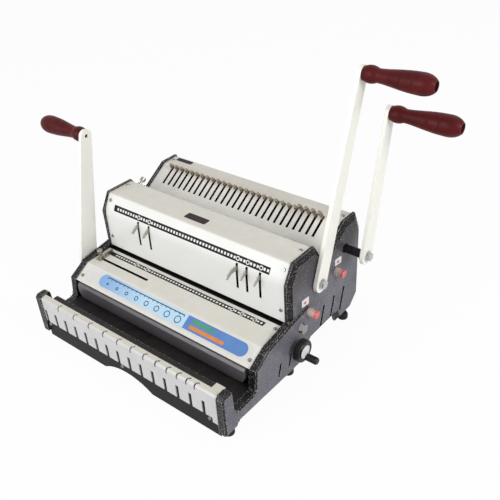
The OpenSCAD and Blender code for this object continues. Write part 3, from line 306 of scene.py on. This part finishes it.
def build_hammer():
    """Hammered paint: round cells, shifted by noise, as a height, and a glint in the core of
    some of the cells."""
    tree, place, start, end = effect("hammer", {"Scale": 420.0}, ["Height", "Glint"])
    warp = add(tree, "TexNoise", Scale=180.0, Detail=2.0)
    shift = add(tree, "VectorMath", operation="SCALE", Scale=0.0016)
    moved = add(tree, "VectorMath", operation="ADD")
    cells = add(tree, "TexVoronoi", feature="SMOOTH_F1")
    rise = add(tree, "MapRange", From_Min=0.0, From_Max=0.7, To_Min=1.0, To_Max=0.0)
    picks = add(tree, "TexVoronoi", feature="F1")
    tone = add(tree, "SeparateColor")
    chosen = add(tree, "MapRange", From_Min=0.72, From_Max=0.95)
    core = add(tree, "MapRange", From_Min=0.42, From_Max=0.1)
    glint = add(tree, "Math", operation="MULTIPLY")
    wire(tree,
         (place, "Object", warp, "Vector"),
         (warp, "Color", shift, 0),
         (place, "Object", moved, 0),
         (shift, "Vector", moved, 1))
    for texture in (cells, picks):
        wire(tree, (moved, "Vector", texture, "Vector"), (start, "Scale", texture, "Scale"))
    wire(tree,
         (cells, "Distance", rise, "Value"),
         (rise, "Result", end, "Height"),
         (picks, "Color", tone, "Color"),
         (tone, "Red", chosen, "Value"),
         (picks, "Distance", core, "Value"),
         (chosen, "Result", glint, 0),
         (core, "Result", glint, 1),
         (glint, "Value", end, "Glint"))
    return tree


def build_flats():
    """One on broad faces that look to the left or right and lie at least Reach from the middle
    plane, nought on bevels, edges and the floors of grooves."""
    tree, place, start, end = effect("flats", {"Middle": 0.0, "Reach": 0.2}, ["Mask"])
    true = add(tree, "NewGeometry")
    look = add(tree, "SeparateXYZ")
    size = add(tree, "Math", operation="ABSOLUTE")
    step = add(tree, "MapRange", From_Min=0.9, From_Max=0.98)
    where = add(tree, "SeparateXYZ")
    across = add(tree, "Math", operation="SUBTRACT")
    far = add(tree, "Math", operation="ABSOLUTE")
    outer = add(tree, "Math", operation="GREATER_THAN")
    both = add(tree, "Math", operation="MULTIPLY")
    wire(tree,
         (true, "Normal", look, "Vector"),
         (look, "X", size, 0),
         (size, "Value", step, "Value"),
         (place, "Object", where, "Vector"),
         (where, "X", across, 0),
         (start, "Middle", across, 1),
         (across, "Value", far, 0),
         (far, "Value", outer, 0),
         (start, "Reach", outer, 1),
         (step, "Result", both, 0),
         (outer, "Value", both, 1),
         (both, "Value", end, "Mask"))
    return tree


def build_lines():
    """Ground metal: noise drawn out along X into fine lines."""
    tree, place, start, end = effect("lines", {"Scale": 60.0}, ["Value"])
    stretch = add(tree, "Mapping", Scale=(0.06, 9.0, 9.0))
    noise = add(tree, "TexNoise", Detail=5.0, Roughness=0.7)
    wire(tree,
         (place, "Object", stretch, "Vector"),
         (stretch, "Vector", noise, "Vector"),
         (start, "Scale", noise, "Scale"),
         (noise, "Fac", end, "Value"))
    return tree


def build_climb():
    """Share of the way up between two heights, eased at both."""
    tree, place, start, end = effect("painted_shade_climb", {"Low": 0.0, "High": 1.0}, ["Value"])
    split = add(tree, "SeparateXYZ")
    share = add(tree, "MapRange", interpolation_type="SMOOTHSTEP")
    wire(tree,
         (place, "Object", split, "Vector"),
         (split, "Z", share, "Value"),
         (start, "Low", share, "From Min"),
         (start, "High", share, "From Max"),
         (share, "Result", end, "Value"))
    return tree


EFFECTS = {"mottle": build_mottle(), "peel": build_peel(), "edge_wear_and_highlight": build_rub(),
           "dust": build_dust(), "hammer": build_hammer(), "flats": build_flats(),
           "lines": build_lines(), "painted_shade_climb": build_climb()}


# Finishes

# Sockets of a Mix node that mixes colours
MIX_SHARE, MIX_FIRST, MIX_SECOND, MIX_RESULT = 0, 6, 7, 2
EVERYWHERE = -1.0           # reach of flats that leaves out no face by its place
HAMMER_SCALE = 420.0
# Painted shade: the plates' faces darken from the lower height to the higher
PAINTED_SHADE_FROM, PAINTED_SHADE_TO = 110, 200   # heights between which the plates' faces darken
RED_END = 3.5               # length of a margin knob's red end
KNOB_BODY = ((0.66, 0.50, 0.45), (0.56, 0.42, 0.38))
KNOB_CAP = ((0.68, 0.13, 0.135), (0.58, 0.10, 0.105))
INK_ROUGH, INK_SPOTS = (0.4, 0.52), 60.0


def use(tree, name, **values):
    """One of the shared effects, placed in a material with its own values."""
    node = tree.nodes.new("ShaderNodeGroup")
    node.node_tree = EFFECTS[name]
    for label, value in values.items():
        node.inputs[label].default_value = value
    return node


def mixed(tree, mask, first, second):
    """Colour that goes from first to second by a mask; either is a colour or an output."""
    node = add(tree, "Mix", data_type="RGBA")
    tree.links.new(mask, node.inputs[MIX_SHARE])
    for number, value in ((MIX_FIRST, first), (MIX_SECOND, second)):
        if isinstance(value, bpy.types.NodeSocket):
            tree.links.new(value, node.inputs[number])
        else:
            node.inputs[number].default_value = (*value, 1.0)
    return node.outputs[MIX_RESULT]


def ranged(tree, value, low, high):
    """A value from 0 to 1 carried to a range."""
    node = add(tree, "MapRange", To_Min=low, To_Max=high)
    tree.links.new(value, node.inputs["Value"])
    return node.outputs["Result"]


def along_x(tree):
    """Place along X in the row's frame, from the object's coordinates."""
    place, split = add(tree, "TexCoord"), add(tree, "SeparateXYZ")
    wire(tree, (place, "Object", split, "Vector"))
    return split.outputs["X"]


def blank(name, **values):
    """New material with only its Principled shader, whose plain values are set directly."""
    made = bpy.data.materials.new(name)
    made.use_nodes = True
    tree = made.node_tree
    shader = tree.nodes["Principled BSDF"]
    for label, value in values.items():
        shader.inputs[label.replace("_", " ")].default_value = value
    return made, tree, shader


def surface(tree, shader, tone, gloss, rough):
    """Colour of a shader, and its roughness from a value from 0 to 1 carried to a range."""
    tree.links.new(tone, shader.inputs["Base Color"])
    tree.links.new(ranged(tree, gloss, *rough), shader.inputs["Roughness"])


def bumped(tree, height, shader, strength, depth):
    """Bump on a shader's normal from a height."""
    bump = add(tree, "Bump", Strength=strength, Distance=depth)
    tree.links.new(height, bump.inputs["Height"])
    tree.links.new(bump.outputs["Normal"], shader.inputs["Normal"])


def coat(name, colour, shade, worn, rough=(0.35, 0.5), skin=900.0, skin_depth=0.00004,
         spots=30.0, wear=0.35, dust=0.12, bare=0.4, grey=(0.45, 0.43, 0.4), slit_shade=None, **values):
    """Paint, plastic or rubber: a mottled colour, worn edges, dust on faces that look up and a
    fine skin; on the covers and the gauge plate the dust mask lays a painted warm shade on the
    tops instead. A colour given for slits is a painted near black shade on faces that look to
    the left or right, as the walls of slits do."""
    made, tree, shader = blank(name, **values)
    mottle = use(tree, "mottle", Scale=spots)
    edge_wear_and_highlight = use(tree, "edge_wear_and_highlight", Radius=0.0010, Amount=wear)
    dust_and_top_shade = use(tree, "dust", Amount=dust, Bare=bare)
    peel = use(tree, "peel", Scale=skin)
    tone = mixed(tree, mottle.outputs["Value"], colour, shade)
    tone = mixed(tree, edge_wear_and_highlight.outputs["Mask"], tone, worn)
    # Dust, and on the covers and the gauge plate a painted warm shade on the tops
    tone = mixed(tree, dust_and_top_shade.outputs["Mask"], tone, grey)
    # Painted shade: near black on the walls of slits
    if slit_shade:
        walls = use(tree, "flats", Reach=EVERYWHERE)
        tone = mixed(tree, walls.outputs["Mask"], tone, slit_shade)
    surface(tree, shader, tone, mottle.outputs["Value"], rough)
    bumped(tree, peel.outputs["Height"], shader, strength=0.5, depth=skin_depth)
    return made


def hammered(name, node, face, shade, high, glint, edge, grain, **values):
    """Hammered paint: a mottled tone on the broad outer faces of a node, with painted glints in
    bright cells and a painted shade that darkens it higher up; near black on its bevels and edges
    and, as painted shade, on the floors of its grooves, with pale painted glints in specks and
    painted highlights with some wear along the ridges."""
    made, tree, shader = blank(name, **values)
    middle = float(ORIGIN[0])
    low, top = (float(at((0, 0, z))[2]) for z in (PAINTED_SHADE_FROM, PAINTED_SHADE_TO))
    mottle = use(tree, "mottle", Scale=22.0)
    cells = use(tree, "hammer", Scale=HAMMER_SCALE)
    painted_glints = use(tree, "hammer", Scale=2 * HAMMER_SCALE)
    # Painted shade: faces more than a millimetre inside the outer face, as groove floors are,
    # take the near black of the edges
    flats = use(tree, "flats", Middle=middle, Reach=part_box(node)[1].x - middle - MM)
    edge_wear_and_highlight = use(tree, "edge_wear_and_highlight", Radius=0.0014, Amount=0.9, Grain=700.0)
    # Painted shade: the faces darken higher up
    painted_shade_climb = use(tree, "painted_shade_climb", Low=low, High=top)
    tone = mixed(tree, mottle.outputs["Value"], face, shade)
    tone = mixed(tree, painted_shade_climb.outputs["Value"], tone, high)
    # Painted glints: bright cells on the faces
    tone = mixed(tree, cells.outputs["Glint"], tone, glint)
    # Painted glints: pale specks on the bevels and edges
    rim = mixed(tree, painted_glints.outputs["Glint"], edge, grain)
    tone = mixed(tree, flats.outputs["Mask"], rim, tone)
    # Painted highlights with some wear: pale specks along the ridges of bevels and edges
    tone = mixed(tree, edge_wear_and_highlight.outputs["Mask"], tone, grain)
    surface(tree, shader, tone, cells.outputs["Height"], rough=(0.46, 0.26))
    bumped(tree, cells.outputs["Height"], shader, strength=0.5, depth=0.0003)
    return made


def metal(name, colour, shade, rough=(0.25, 0.42), grain=60.0, wear=0.2, worn=(0.8, 0.8, 0.8)):
    """Ground or plated metal: fine lines change its tone and height, a mottle its gloss, and
    its edges are worn bright; on the chrome side bolts the bright edges are painted highlights."""
    made, tree, shader = blank(name, Metallic=1.0)
    lines = use(tree, "lines", Scale=grain)
    mottle = use(tree, "mottle", Scale=90.0)
    edge_wear_and_highlight = use(tree, "edge_wear_and_highlight", Radius=0.0006, Amount=wear)
    tone = mixed(tree, lines.outputs["Value"], colour, shade)
    tone = mixed(tree, edge_wear_and_highlight.outputs["Mask"], tone, worn)
    surface(tree, shader, tone, mottle.outputs["Value"], rough)
    bumped(tree, lines.outputs["Value"], shader, strength=0.4, depth=0.00002)
    return made


def knob_finish(name, node):
    """Margin knob: warm grey body whose outer end, by its place along X, is red."""
    made, tree, shader = blank(name, Coat_Weight=0.15)
    mottle = use(tree, "mottle", Scale=140.0)
    red = add(tree, "Math", operation="GREATER_THAN")
    red.inputs[1].default_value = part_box(node)[1].x - RED_END * MM
    tree.links.new(along_x(tree), red.inputs[0])
    body, cap = (mixed(tree, mottle.outputs["Value"], *pair) for pair in (KNOB_BODY, KNOB_CAP))
    tone = mixed(tree, red.outputs["Value"], body, cap)
    surface(tree, shader, tone, mottle.outputs["Value"], rough=(0.3, 0.45))
    return made


def ink(name, colour, shade, **values):
    """Printed ink: a flat tone with slight mottle and little dust."""
    return coat(name, colour, shade, colour, rough=INK_ROUGH, skin=1600.0, skin_depth=0.00002,
                spots=INK_SPOTS, wear=0.0, dust=0.02, **values)


def faded_ink(name, left, right, x0, x1):
    """Printed ink whose tone goes from left to right between two places along X."""
    made, tree, shader = blank(name)
    low, high = (float(at((x, 0, 0))[0]) for x in (x0, x1))
    share = add(tree, "MapRange", From_Min=low, From_Max=high)
    mottle = use(tree, "mottle", Scale=INK_SPOTS)
    tree.links.new(along_x(tree), share.inputs["Value"])
    tone = mixed(tree, share.outputs["Result"], left, right)
    surface(tree, shader, tone, mottle.outputs["Value"], INK_ROUGH)
    return made


# Paints: colour, shade and worn colour
# Painted warm shade for the tops of the covers and the gauge plate, laid on through the dust mask
PAINTED_TOP_SHADE = (0.63, 0.60, 0.51)
# Covers: their tops in painted warm shade, the walls of their slits in a painted near black shade
cover_paint = coat(
    "cover_paint", (0.82, 0.82, 0.80), (0.79, 0.79, 0.765), (0.55, 0.53, 0.5),
    rough=(0.34, 0.46), skin=1300.0, spots=14.0, wear=0.25, dust=0.8, bare=-0.5, grey=PAINTED_TOP_SHADE,
    slit_shade=(0.01, 0.01, 0.01), Coat_Weight=0.12, Coat_Roughness=0.25)
# Gauge plate: its top lip in painted warm shade
gauge_paint = coat(
    "gauge_paint", (0.58, 0.575, 0.58), (0.53, 0.525, 0.53), (0.30, 0.29, 0.28),
    rough=(0.3, 0.42), skin=1300.0, spots=26.0, wear=0.5, dust=1.0, bare=-0.5, grey=PAINTED_TOP_SHADE)
# Hammered tones: high is the painted shade higher up, glint the painted glints on the faces,
# grain the pale painted glints and highlights on bevels and edges
HAMMER_TONES = {
    "face": (0.165, 0.162, 0.190), "shade": (0.100, 0.097, 0.116), "high": (0.050, 0.043, 0.046),
    "glint": (0.36, 0.36, 0.40), "edge": (0.010, 0.009, 0.010), "grain": (0.80, 0.78, 0.76)}
plate_paint = hammered("plate_paint", "right_side_plate", **HAMMER_TONES, Specular_IOR_Level=0.2)
closer_paint = hammered(
    "closer_paint", "right_closer_plate", **HAMMER_TONES, Specular_IOR_Level=0.2)
trough_paint = coat(
    "trough_paint", (0.017, 0.015, 0.015), (0.026, 0.022, 0.022), (0.5, 0.44, 0.34),
    rough=(0.4, 0.55), skin=1500.0, wear=0.8, dust=0.03, Specular_IOR_Level=0.12)
# Inner parts seen through the slits: near black as painted shade
painted_inner_shade = coat(
    "painted_inner_shade", (0.006, 0.006, 0.006), (0.010, 0.010, 0.010), (0.03, 0.03, 0.03),
    rough=(0.5, 0.7), wear=0.1, dust=0.0, Specular_IOR_Level=0.1)
black_paint = coat(
    "black_paint", (0.016, 0.014, 0.015), (0.024, 0.021, 0.022), (0.30, 0.28, 0.27),
    rough=(0.32, 0.5), skin=1500.0, wear=0.8, dust=0.05, Specular_IOR_Level=0.05)
lever_paint = coat(
    "lever_paint", (0.91, 0.905, 0.84), (0.89, 0.885, 0.82), (0.5, 0.48, 0.43),
    rough=(0.26, 0.38), skin=700.0, spots=12.0, wear=0.25, dust=0.05,
    Coat_Weight=0.1, Coat_Roughness=0.2)
jaw_paint = coat(
    "jaw_paint", (0.110, 0.105, 0.114), (0.130, 0.122, 0.132), (0.3, 0.29, 0.29),
    rough=(0.3, 0.45), skin=1200.0, wear=0.6, dust=0.08)
tray_paint = coat(
    "tray_paint", (0.16, 0.16, 0.165), (0.13, 0.13, 0.135), (0.35, 0.35, 0.35), dust=0.2)

# Plastics and rubber
grip_plastic = coat(
    "grip_plastic", (0.105, 0.010, 0.011), (0.058, 0.006, 0.007), (0.14, 0.03, 0.025),
    rough=(0.34, 0.46), skin=600.0, spots=45.0, wear=0.15, dust=0.0, Specular_IOR_Level=0.1)
foot_rubber = coat(
    "foot_rubber", (0.018, 0.018, 0.018), (0.03, 0.03, 0.03), (0.06, 0.06, 0.06),
    rough=(0.6, 0.8), skin=1100.0, dust=0.1, Specular_IOR_Level=0.15)
knob_plastic = coat(
    "knob_plastic", (0.013, 0.013, 0.014), (0.02, 0.02, 0.021), (0.09, 0.09, 0.09),
    rough=(0.22, 0.36), skin=800.0, spots=80.0, dust=0.03, Specular_IOR_Level=0.15)
front_knob = knob_finish("front_knob", "front_margin_knob")
rear_knob = knob_finish("rear_knob", "rear_margin_knob")

# Metals: colour and shade
tool_steel = metal("tool_steel", (0.46, 0.46, 0.48), (0.36, 0.36, 0.38))
dark_steel = metal(
    "dark_steel", (0.032, 0.031, 0.034), (0.022, 0.021, 0.024),
    rough=(0.36, 0.52), worn=(0.2, 0.2, 0.2))
bolt_steel = metal(
    "bolt_steel", (0.60, 0.60, 0.60), (0.46, 0.46, 0.47), rough=(0.2, 0.34), grain=140.0)
screw_steel = metal(
    "screw_steel", (0.34, 0.34, 0.34), (0.24, 0.24, 0.25), rough=(0.24, 0.4), grain=140.0)
# Chrome side bolts: the near white of their edges is painted highlights
bolt_chrome = metal(
    "bolt_chrome", (0.34, 0.31, 0.31), (0.24, 0.22, 0.22),
    rough=(0.08, 0.16), grain=140.0, worn=(0.95, 0.95, 0.95), wear=0.9)
tab_metal = metal(
    "tab_metal", (0.56, 0.54, 0.49), (0.43, 0.41, 0.36),
    rough=(0.3, 0.5), grain=200.0, worn=(0.72, 0.7, 0.64), wear=0.5)
bead_metal = metal(
    "bead_metal", (0.38, 0.31, 0.24), (0.25, 0.20, 0.155),
    rough=(0.26, 0.42), grain=220.0, worn=(0.7, 0.64, 0.55), wear=0.5)
guide_nickel = metal(
    "guide_nickel", (0.40, 0.375, 0.33), (0.27, 0.25, 0.215),
    rough=(0.26, 0.42), grain=160.0, worn=(0.75, 0.72, 0.66), wear=0.5)

# Inks: colour and shade
black_ink = ink("black_ink", (0.012, 0.012, 0.013), (0.02, 0.02, 0.021), Specular_IOR_Level=0.1)
white_ink = ink("white_ink", (0.80, 0.80, 0.79), (0.74, 0.74, 0.73))
pale_ink = ink("pale_ink", (0.70, 0.70, 0.69), (0.64, 0.64, 0.62))
sky_ink = faded_ink("sky_ink", (0.22, 0.40, 0.70), (0.48, 0.69, 0.86), x0=-140, x1=-40)
blue_ink = ink("blue_ink", (0.085, 0.20, 0.48), (0.10, 0.23, 0.52))
navy_ink = ink("navy_ink", (0.014, 0.03, 0.08), (0.02, 0.04, 0.10), Specular_IOR_Level=0.2)
orange_ink = ink("orange_ink", (0.66, 0.19, 0.035), (0.72, 0.25, 0.05))
green_ink = ink("green_ink", (0.05, 0.28, 0.12), (0.07, 0.34, 0.15))
red_ink = ink("red_ink", (0.5, 0.06, 0.06), (0.44, 0.05, 0.05))
badge_ink = ink("badge_ink", (0.028, 0.016, 0.017), (0.05, 0.03, 0.032), Specular_IOR_Level=0.1)

FRONT_SELECTORS = ["front_selector_%d" % number for number in range(1, 6)]
DRESS = {
    plate_paint: ["left_side_plate", "right_side_plate"],
    closer_paint: ["left_closer_plate", "right_closer_plate"],
    cover_paint: ["lower_cover", "upper_cover", "rear_cover"],
    gauge_paint: ["gauge_plate"],
    black_paint: ["base_plate", "front_panel", "rear_punch_shaft"],
    trough_paint: ["trough_floor", "anvil_bar"],
    jaw_paint: ["closing_jaw"],
    dark_steel: ["front_die_plate", "rear_die_plate", "shaft_bushes"],
    painted_inner_shade: ["front_pin_guide", "rear_pin_guide", "front_pressure_bar", "rear_pressure_bar",
                  "front_punch_pins", "rear_punch_pins"],
    tool_steel: ["front_punch_shaft", "front_racks", "rear_racks", "closer_shaft", "closer_racks",
                 "crank_shaft", "front_margin_rod", "rear_margin_rod"],
    foot_rubber: ["feet"],
    bolt_steel: ["front_lever_bolt", "rear_lever_bolt", "closer_lever_bolt"],
    screw_steel: ["cover_screws"],
    bolt_chrome: ["side_bolts"],
    lever_paint: ["front_lever", "rear_lever", "closer_lever"],
    grip_plastic: ["front_grip", "rear_grip", "closer_grip"],
    tab_metal: FRONT_SELECTORS,
    bead_metal: ["rear_selectors", "rear_selectors_pulled"],
    guide_nickel: ["front_edge_guide", "front_guide_screw", "rear_edge_guide",
                   "rear_guide_screw"],
    knob_plastic: ["size_crank", "crank_peg"],
    front_knob: ["front_margin_knob"],
    rear_knob: ["rear_margin_knob"],
    tray_paint: ["chip_tray"],
}
for finish, names in DRESS.items():
    for node_name in names:
        for material_slot in NODES[node_name].material_slots:
            material_slot.material = finish


# Rows of hole marks on the two covers, with a ring where a selector stands

COIL_PITCH, COIL_COUNT, COIL_MIDDLE = 6.35, 52, -1.4
RING_RADIUS, RING_WALL = 3.6, 1.5
HOLE_ROWS = (               # cover, sides along X, edges along the cover, size of a mark
    ("upper", UPPER_COVER, (-173.5, 164.0), (75.4, 86.7), (3.7, 4.2)),
    ("table", TABLE_COVER, (-177.0, 166.0), (73.5, 82.5), (3.7, 3.4)))
coil_left = COIL_MIDDLE - (COIL_COUNT - 1) * COIL_PITCH / 2
coil_x = coil_left + COIL_PITCH * np.arange(COIL_COUNT)
selector_x = np.array([middle_of(node)[0] for node in FRONT_SELECTORS])
plain_x = coil_x[np.abs(coil_x[:, None] - selector_x).min(axis=1) > COIL_PITCH / 2]
ring_radii = np.full(len(selector_x), RING_RADIUS)
for label, cover, sides, edges, (width, height) in HOLE_ROWS:
    middle = sum(edges) / 2
    band(label + "_scale", cover, sides, edges, black_ink, "black_paint")
    marks(label + "_scale_marks", cover, plain_x, width,
          (middle - height / 2, middle + height / 2), white_ink)
    rings(label + "_scale_rings", cover, selector_x, middle, ring_radii, RING_WALL,
          white_ink)


# Wire size label on the slope of the table cover: a pale back, a sky blue field with a ruler and
# rings of growing size, and a darker block with two bars

# Sides along X and edges up the slope
LABEL_BACK = (-184, 186), (5.5, 34.5)
LABEL_FIELD = (-147, 53), (9.0, 32.0)
LABEL_BLOCK = (53, 176), (9.0, 32.0)
RULER_LINE = (-132, 46), (27.6, 29.2)
GREEN_BAR = (64, 108), (22.5, 28.5)
ORANGE_BAR = (64, 134), (12.5, 18.5)
BACK_ROUND, LABEL_ROUND, BAR_ROUND = 14.4, 11.4, 2.9
TICK_COUNT, TICK_WIDTH, TICK_EDGES = 19, 1.1, (25.2, 28.4)
SIZE_COUNT, SIZE_SIDES, SIZE_HEIGHT = 8, (-126, 38), 17.5
SIZE_RADII, SIZE_WALL = (2.2, 6.4), 1.4
tick_x = np.linspace(*RULER_LINE[0], TICK_COUNT)
size_x, size_radii = (np.linspace(*limits, SIZE_COUNT) for limits in (SIZE_SIDES, SIZE_RADII))
band("label_back", TABLE_COVER, *LABEL_BACK, pale_ink, "gauge_paint",
     rounds=(BACK_ROUND, BACK_ROUND))
band("label_field", TABLE_COVER, *LABEL_FIELD, sky_ink, "cover_paint",
     rounds=(LABEL_ROUND, 0.0), layer=2)
band("label_block", TABLE_COVER, *LABEL_BLOCK, blue_ink, "cover_paint",
     rounds=(0.0, LABEL_ROUND), layer=2)
band("label_line", TABLE_COVER, *RULER_LINE, navy_ink, "black_paint", layer=3)
marks("label_ticks", TABLE_COVER, tick_x, TICK_WIDTH, TICK_EDGES, navy_ink,
      layer=3)
rings("label_sizes", TABLE_COVER, size_x, SIZE_HEIGHT, size_radii, SIZE_WALL, navy_ink,
      layer=3)
for name, bar, finish in (("label_green", GREEN_BAR, green_ink),
                          ("label_orange", ORANGE_BAR, orange_ink)):
    band(name, TABLE_COVER, *bar, finish, "cover_paint", rounds=(BAR_ROUND, BAR_ROUND), layer=3)


# Bare plates, the white face of the crank and the signs of the margin knobs

# Rows of a plate, as share of the outline and height above the seat
THIN = [(1.0, 0.02), (1.0, 0.5), (0.97, 0.7), (0.5, 0.7)]
DISC = [(1.0, 0.02), (1.0, 0.35), (0.96, 0.5), (0.5, 0.5)]
SPOT = [(1.0, 0.52), (1.0, 0.6), (0.5, 0.62)]
# Powers of the outlines
SQUARE, SOFT_SQUARE, ROUND, DIAMOND = 14, 12, 2, 1.0
ALONG_X, ALONG_Y, ALONG_Z = (1, 0, 0), (0, 1, 0), (0, 0, 1)
BARE_PLATES = (             # place, way up the cover and half sizes
    ("name_plate", (-5, 199.8, 205.65), (0, 1, -0.019), (22.2, 7.4)),
    ("rear_plate", (-164, 343.5, 204.75), (0, 1, 0.031), (18.3, 4.6)))
CRANK_FACE = (11, 11)
SIGNS = (                   # depth, height and half sizes
    ("rear", 295.5, 147.5, (9.6, 6.3)),
    ("front", 202.5, 125.5, (9.4, 7.0)))
SIGN_TILT = (0, 1, -0.12)
MARK_SIZE, MARK_AHEAD, MARK_BELOW = (4.2, 2.8), 1, 0.5
for name, place, up, half in BARE_PLATES:
    plate(name, place, ALONG_X, up, half, SQUARE, THIN, badge_ink, "frame")
crank_end = (ends("size_crank")[1][0], *middle_of("size_crank")[1:])
plate("crank_face", crank_end, ALONG_Y, ALONG_Z, CRANK_FACE, ROUND, DISC, white_ink, "crank")
plate_face = ends("right_side_plate")[1][0]
for label, depth, height, half in SIGNS:
    plate(label + "_margin_sign", (plate_face, depth, height), SIGN_TILT, ALONG_Z, half,
          SOFT_SQUARE, DISC, white_ink, "frame")
    plate(label + "_margin_mark", (plate_face, depth - MARK_AHEAD, height - MARK_BELOW),
          SIGN_TILT, ALONG_Z, MARK_SIZE, DIAMOND, SPOT, red_ink, "frame")


# Studio

FOCAL_PX, FRAME_PX, SENSOR = 659.17, 500.0, 36.0
AZIMUTH, ELEVATION, ROLL = (math.radians(angle) for angle in (40.134, 34.195, -3.721))
EYE = (647.2, -445.4, 758.5)
FLOOR_REACH, FLOOR_TONE, FLOOR_GLOW = 4.0, 0.86, 0.95
WORLD_LIGHT = 0.42
WHITE = (1.0, 1.0, 1.0)
SOFTBOXES = (               # place and aim in metres, side, watts and colour
    ("key", (-0.8, -2.3, 1.25), (0, 0, 0.15), 1.6, 40, WHITE),
    ("fill", (2.3, -0.2, 1.6), (0, 0, 0.2), 1.1, 32, WHITE),
    ("back", (0.2, 1.8, 2.2), (0, 0, 0.2), 1.2, 5, (1.0, 0.95, 0.88)))


def stand(name, data, *columns):
    """Camera or lamp in the scene: its three axes and its place are the columns of its matrix."""
    made = bpy.data.objects.new(name, data)
    made.matrix_world = Matrix(np.vstack([np.column_stack(columns), [0, 0, 0, 1]]).tolist())
    bpy.context.scene.collection.objects.link(made)
    return made


def place_camera():
    """Camera of the photograph: its axes from azimuth and elevation, then rolled about the
    view."""
    level = math.cos(ELEVATION)
    back = np.array([math.sin(AZIMUTH) * level, -math.cos(AZIMUTH) * level, math.sin(ELEVATION)])
    right = np.array([math.cos(AZIMUTH), math.sin(AZIMUTH), 0.0])
    down = -np.cross(back, right)
    c, s = math.cos(ROLL), math.sin(ROLL)
    data = bpy.data.cameras.new("camera")
    data.sensor_width = SENSOR
    data.lens = FOCAL_PX / FRAME_PX * SENSOR
    data.clip_start, data.clip_end = 0.05, 50.0
    bpy.context.scene.camera = stand("camera", data, c * right - s * down,
                                     -(s * right + c * down), back, at(EYE))


def softbox(name, place, aim, size, power, colour):
    """Square lamp that faces a point: its back axis runs from the aim to its place."""
    back = np.subtract(place, aim) / np.linalg.norm(np.subtract(place, aim))
    side = np.cross(ALONG_Z, back)
    side /= np.linalg.norm(side)
    data = bpy.data.lights.new(name, "AREA")
    data.shape, data.size, data.energy, data.color = "SQUARE", size, power, colour
    stand(name, data, side, np.cross(back, side), back, place)


def seen_directly(tree):
    """One where a camera, mirror or glass ray looks, and nought where a light ray does."""
    path = add(tree, "LightPath")
    first = add(tree, "Math", operation="MAXIMUM")
    second = add(tree, "Math", operation="MAXIMUM")
    wire(tree,
         (path, "Is Camera Ray", first, 0),
         (path, "Is Glossy Ray", first, 1),
         (first, "Value", second, 0),
         (path, "Is Transmission Ray", second, 1))
    return second.outputs["Value"]


def white_floor():
    """Pale floor that looks white and still takes a soft shadow: a square about the origin."""
    made = bpy.data.materials.new("white_floor")
    made.use_nodes = True
    tree = made.node_tree
    tree.nodes.clear()
    matt = add(tree, "BsdfDiffuse", Color=(FLOOR_TONE, FLOOR_TONE, FLOOR_TONE, 1))
    glow = add(tree, "Emission", Color=(*WHITE, 1), Strength=1.0)
    share = add(tree, "Math", operation="MULTIPLY")
    share.inputs[1].default_value = FLOOR_GLOW
    both = add(tree, "MixShader")
    end = add(tree, "OutputMaterial")
    tree.links.new(seen_directly(tree), share.inputs[0])
    wire(tree,
         (share, "Value", both, 0),
         (matt, "BSDF", both, 1),
         (glow, "Emission", both, 2),
         (both, "Shader", end, "Surface"))
    corners = [(-1, -1, 0), (1, -1, 0), (1, 1, 0), (-1, 1, 0)]
    mesh = bpy.data.meshes.new("floor")
    mesh.from_pydata((FLOOR_REACH * np.array(corners)).tolist(), [], [(0, 1, 2, 3)])
    mesh.materials.append(made)
    floor = bpy.data.objects.new("floor", mesh)
    bpy.context.scene.collection.objects.link(floor)


def studio_world():
    """White surroundings to look at, and an even light of their own strength."""
    world = bpy.data.worlds.new("studio")
    bpy.context.scene.world = world
    world.use_nodes = True
    tree = world.node_tree
    sky = tree.nodes["Background"]
    sky.inputs["Color"].default_value = (*WHITE, 1)
    strength = ranged(tree, seen_directly(tree), WORLD_LIGHT, 1.0)
    tree.links.new(strength, sky.inputs["Strength"])


place_camera()
white_floor()
studio_world()
for lamp in SOFTBOXES:
    softbox(*lamp)
bpy.context.scene.view_settings.view_transform = "Standard"
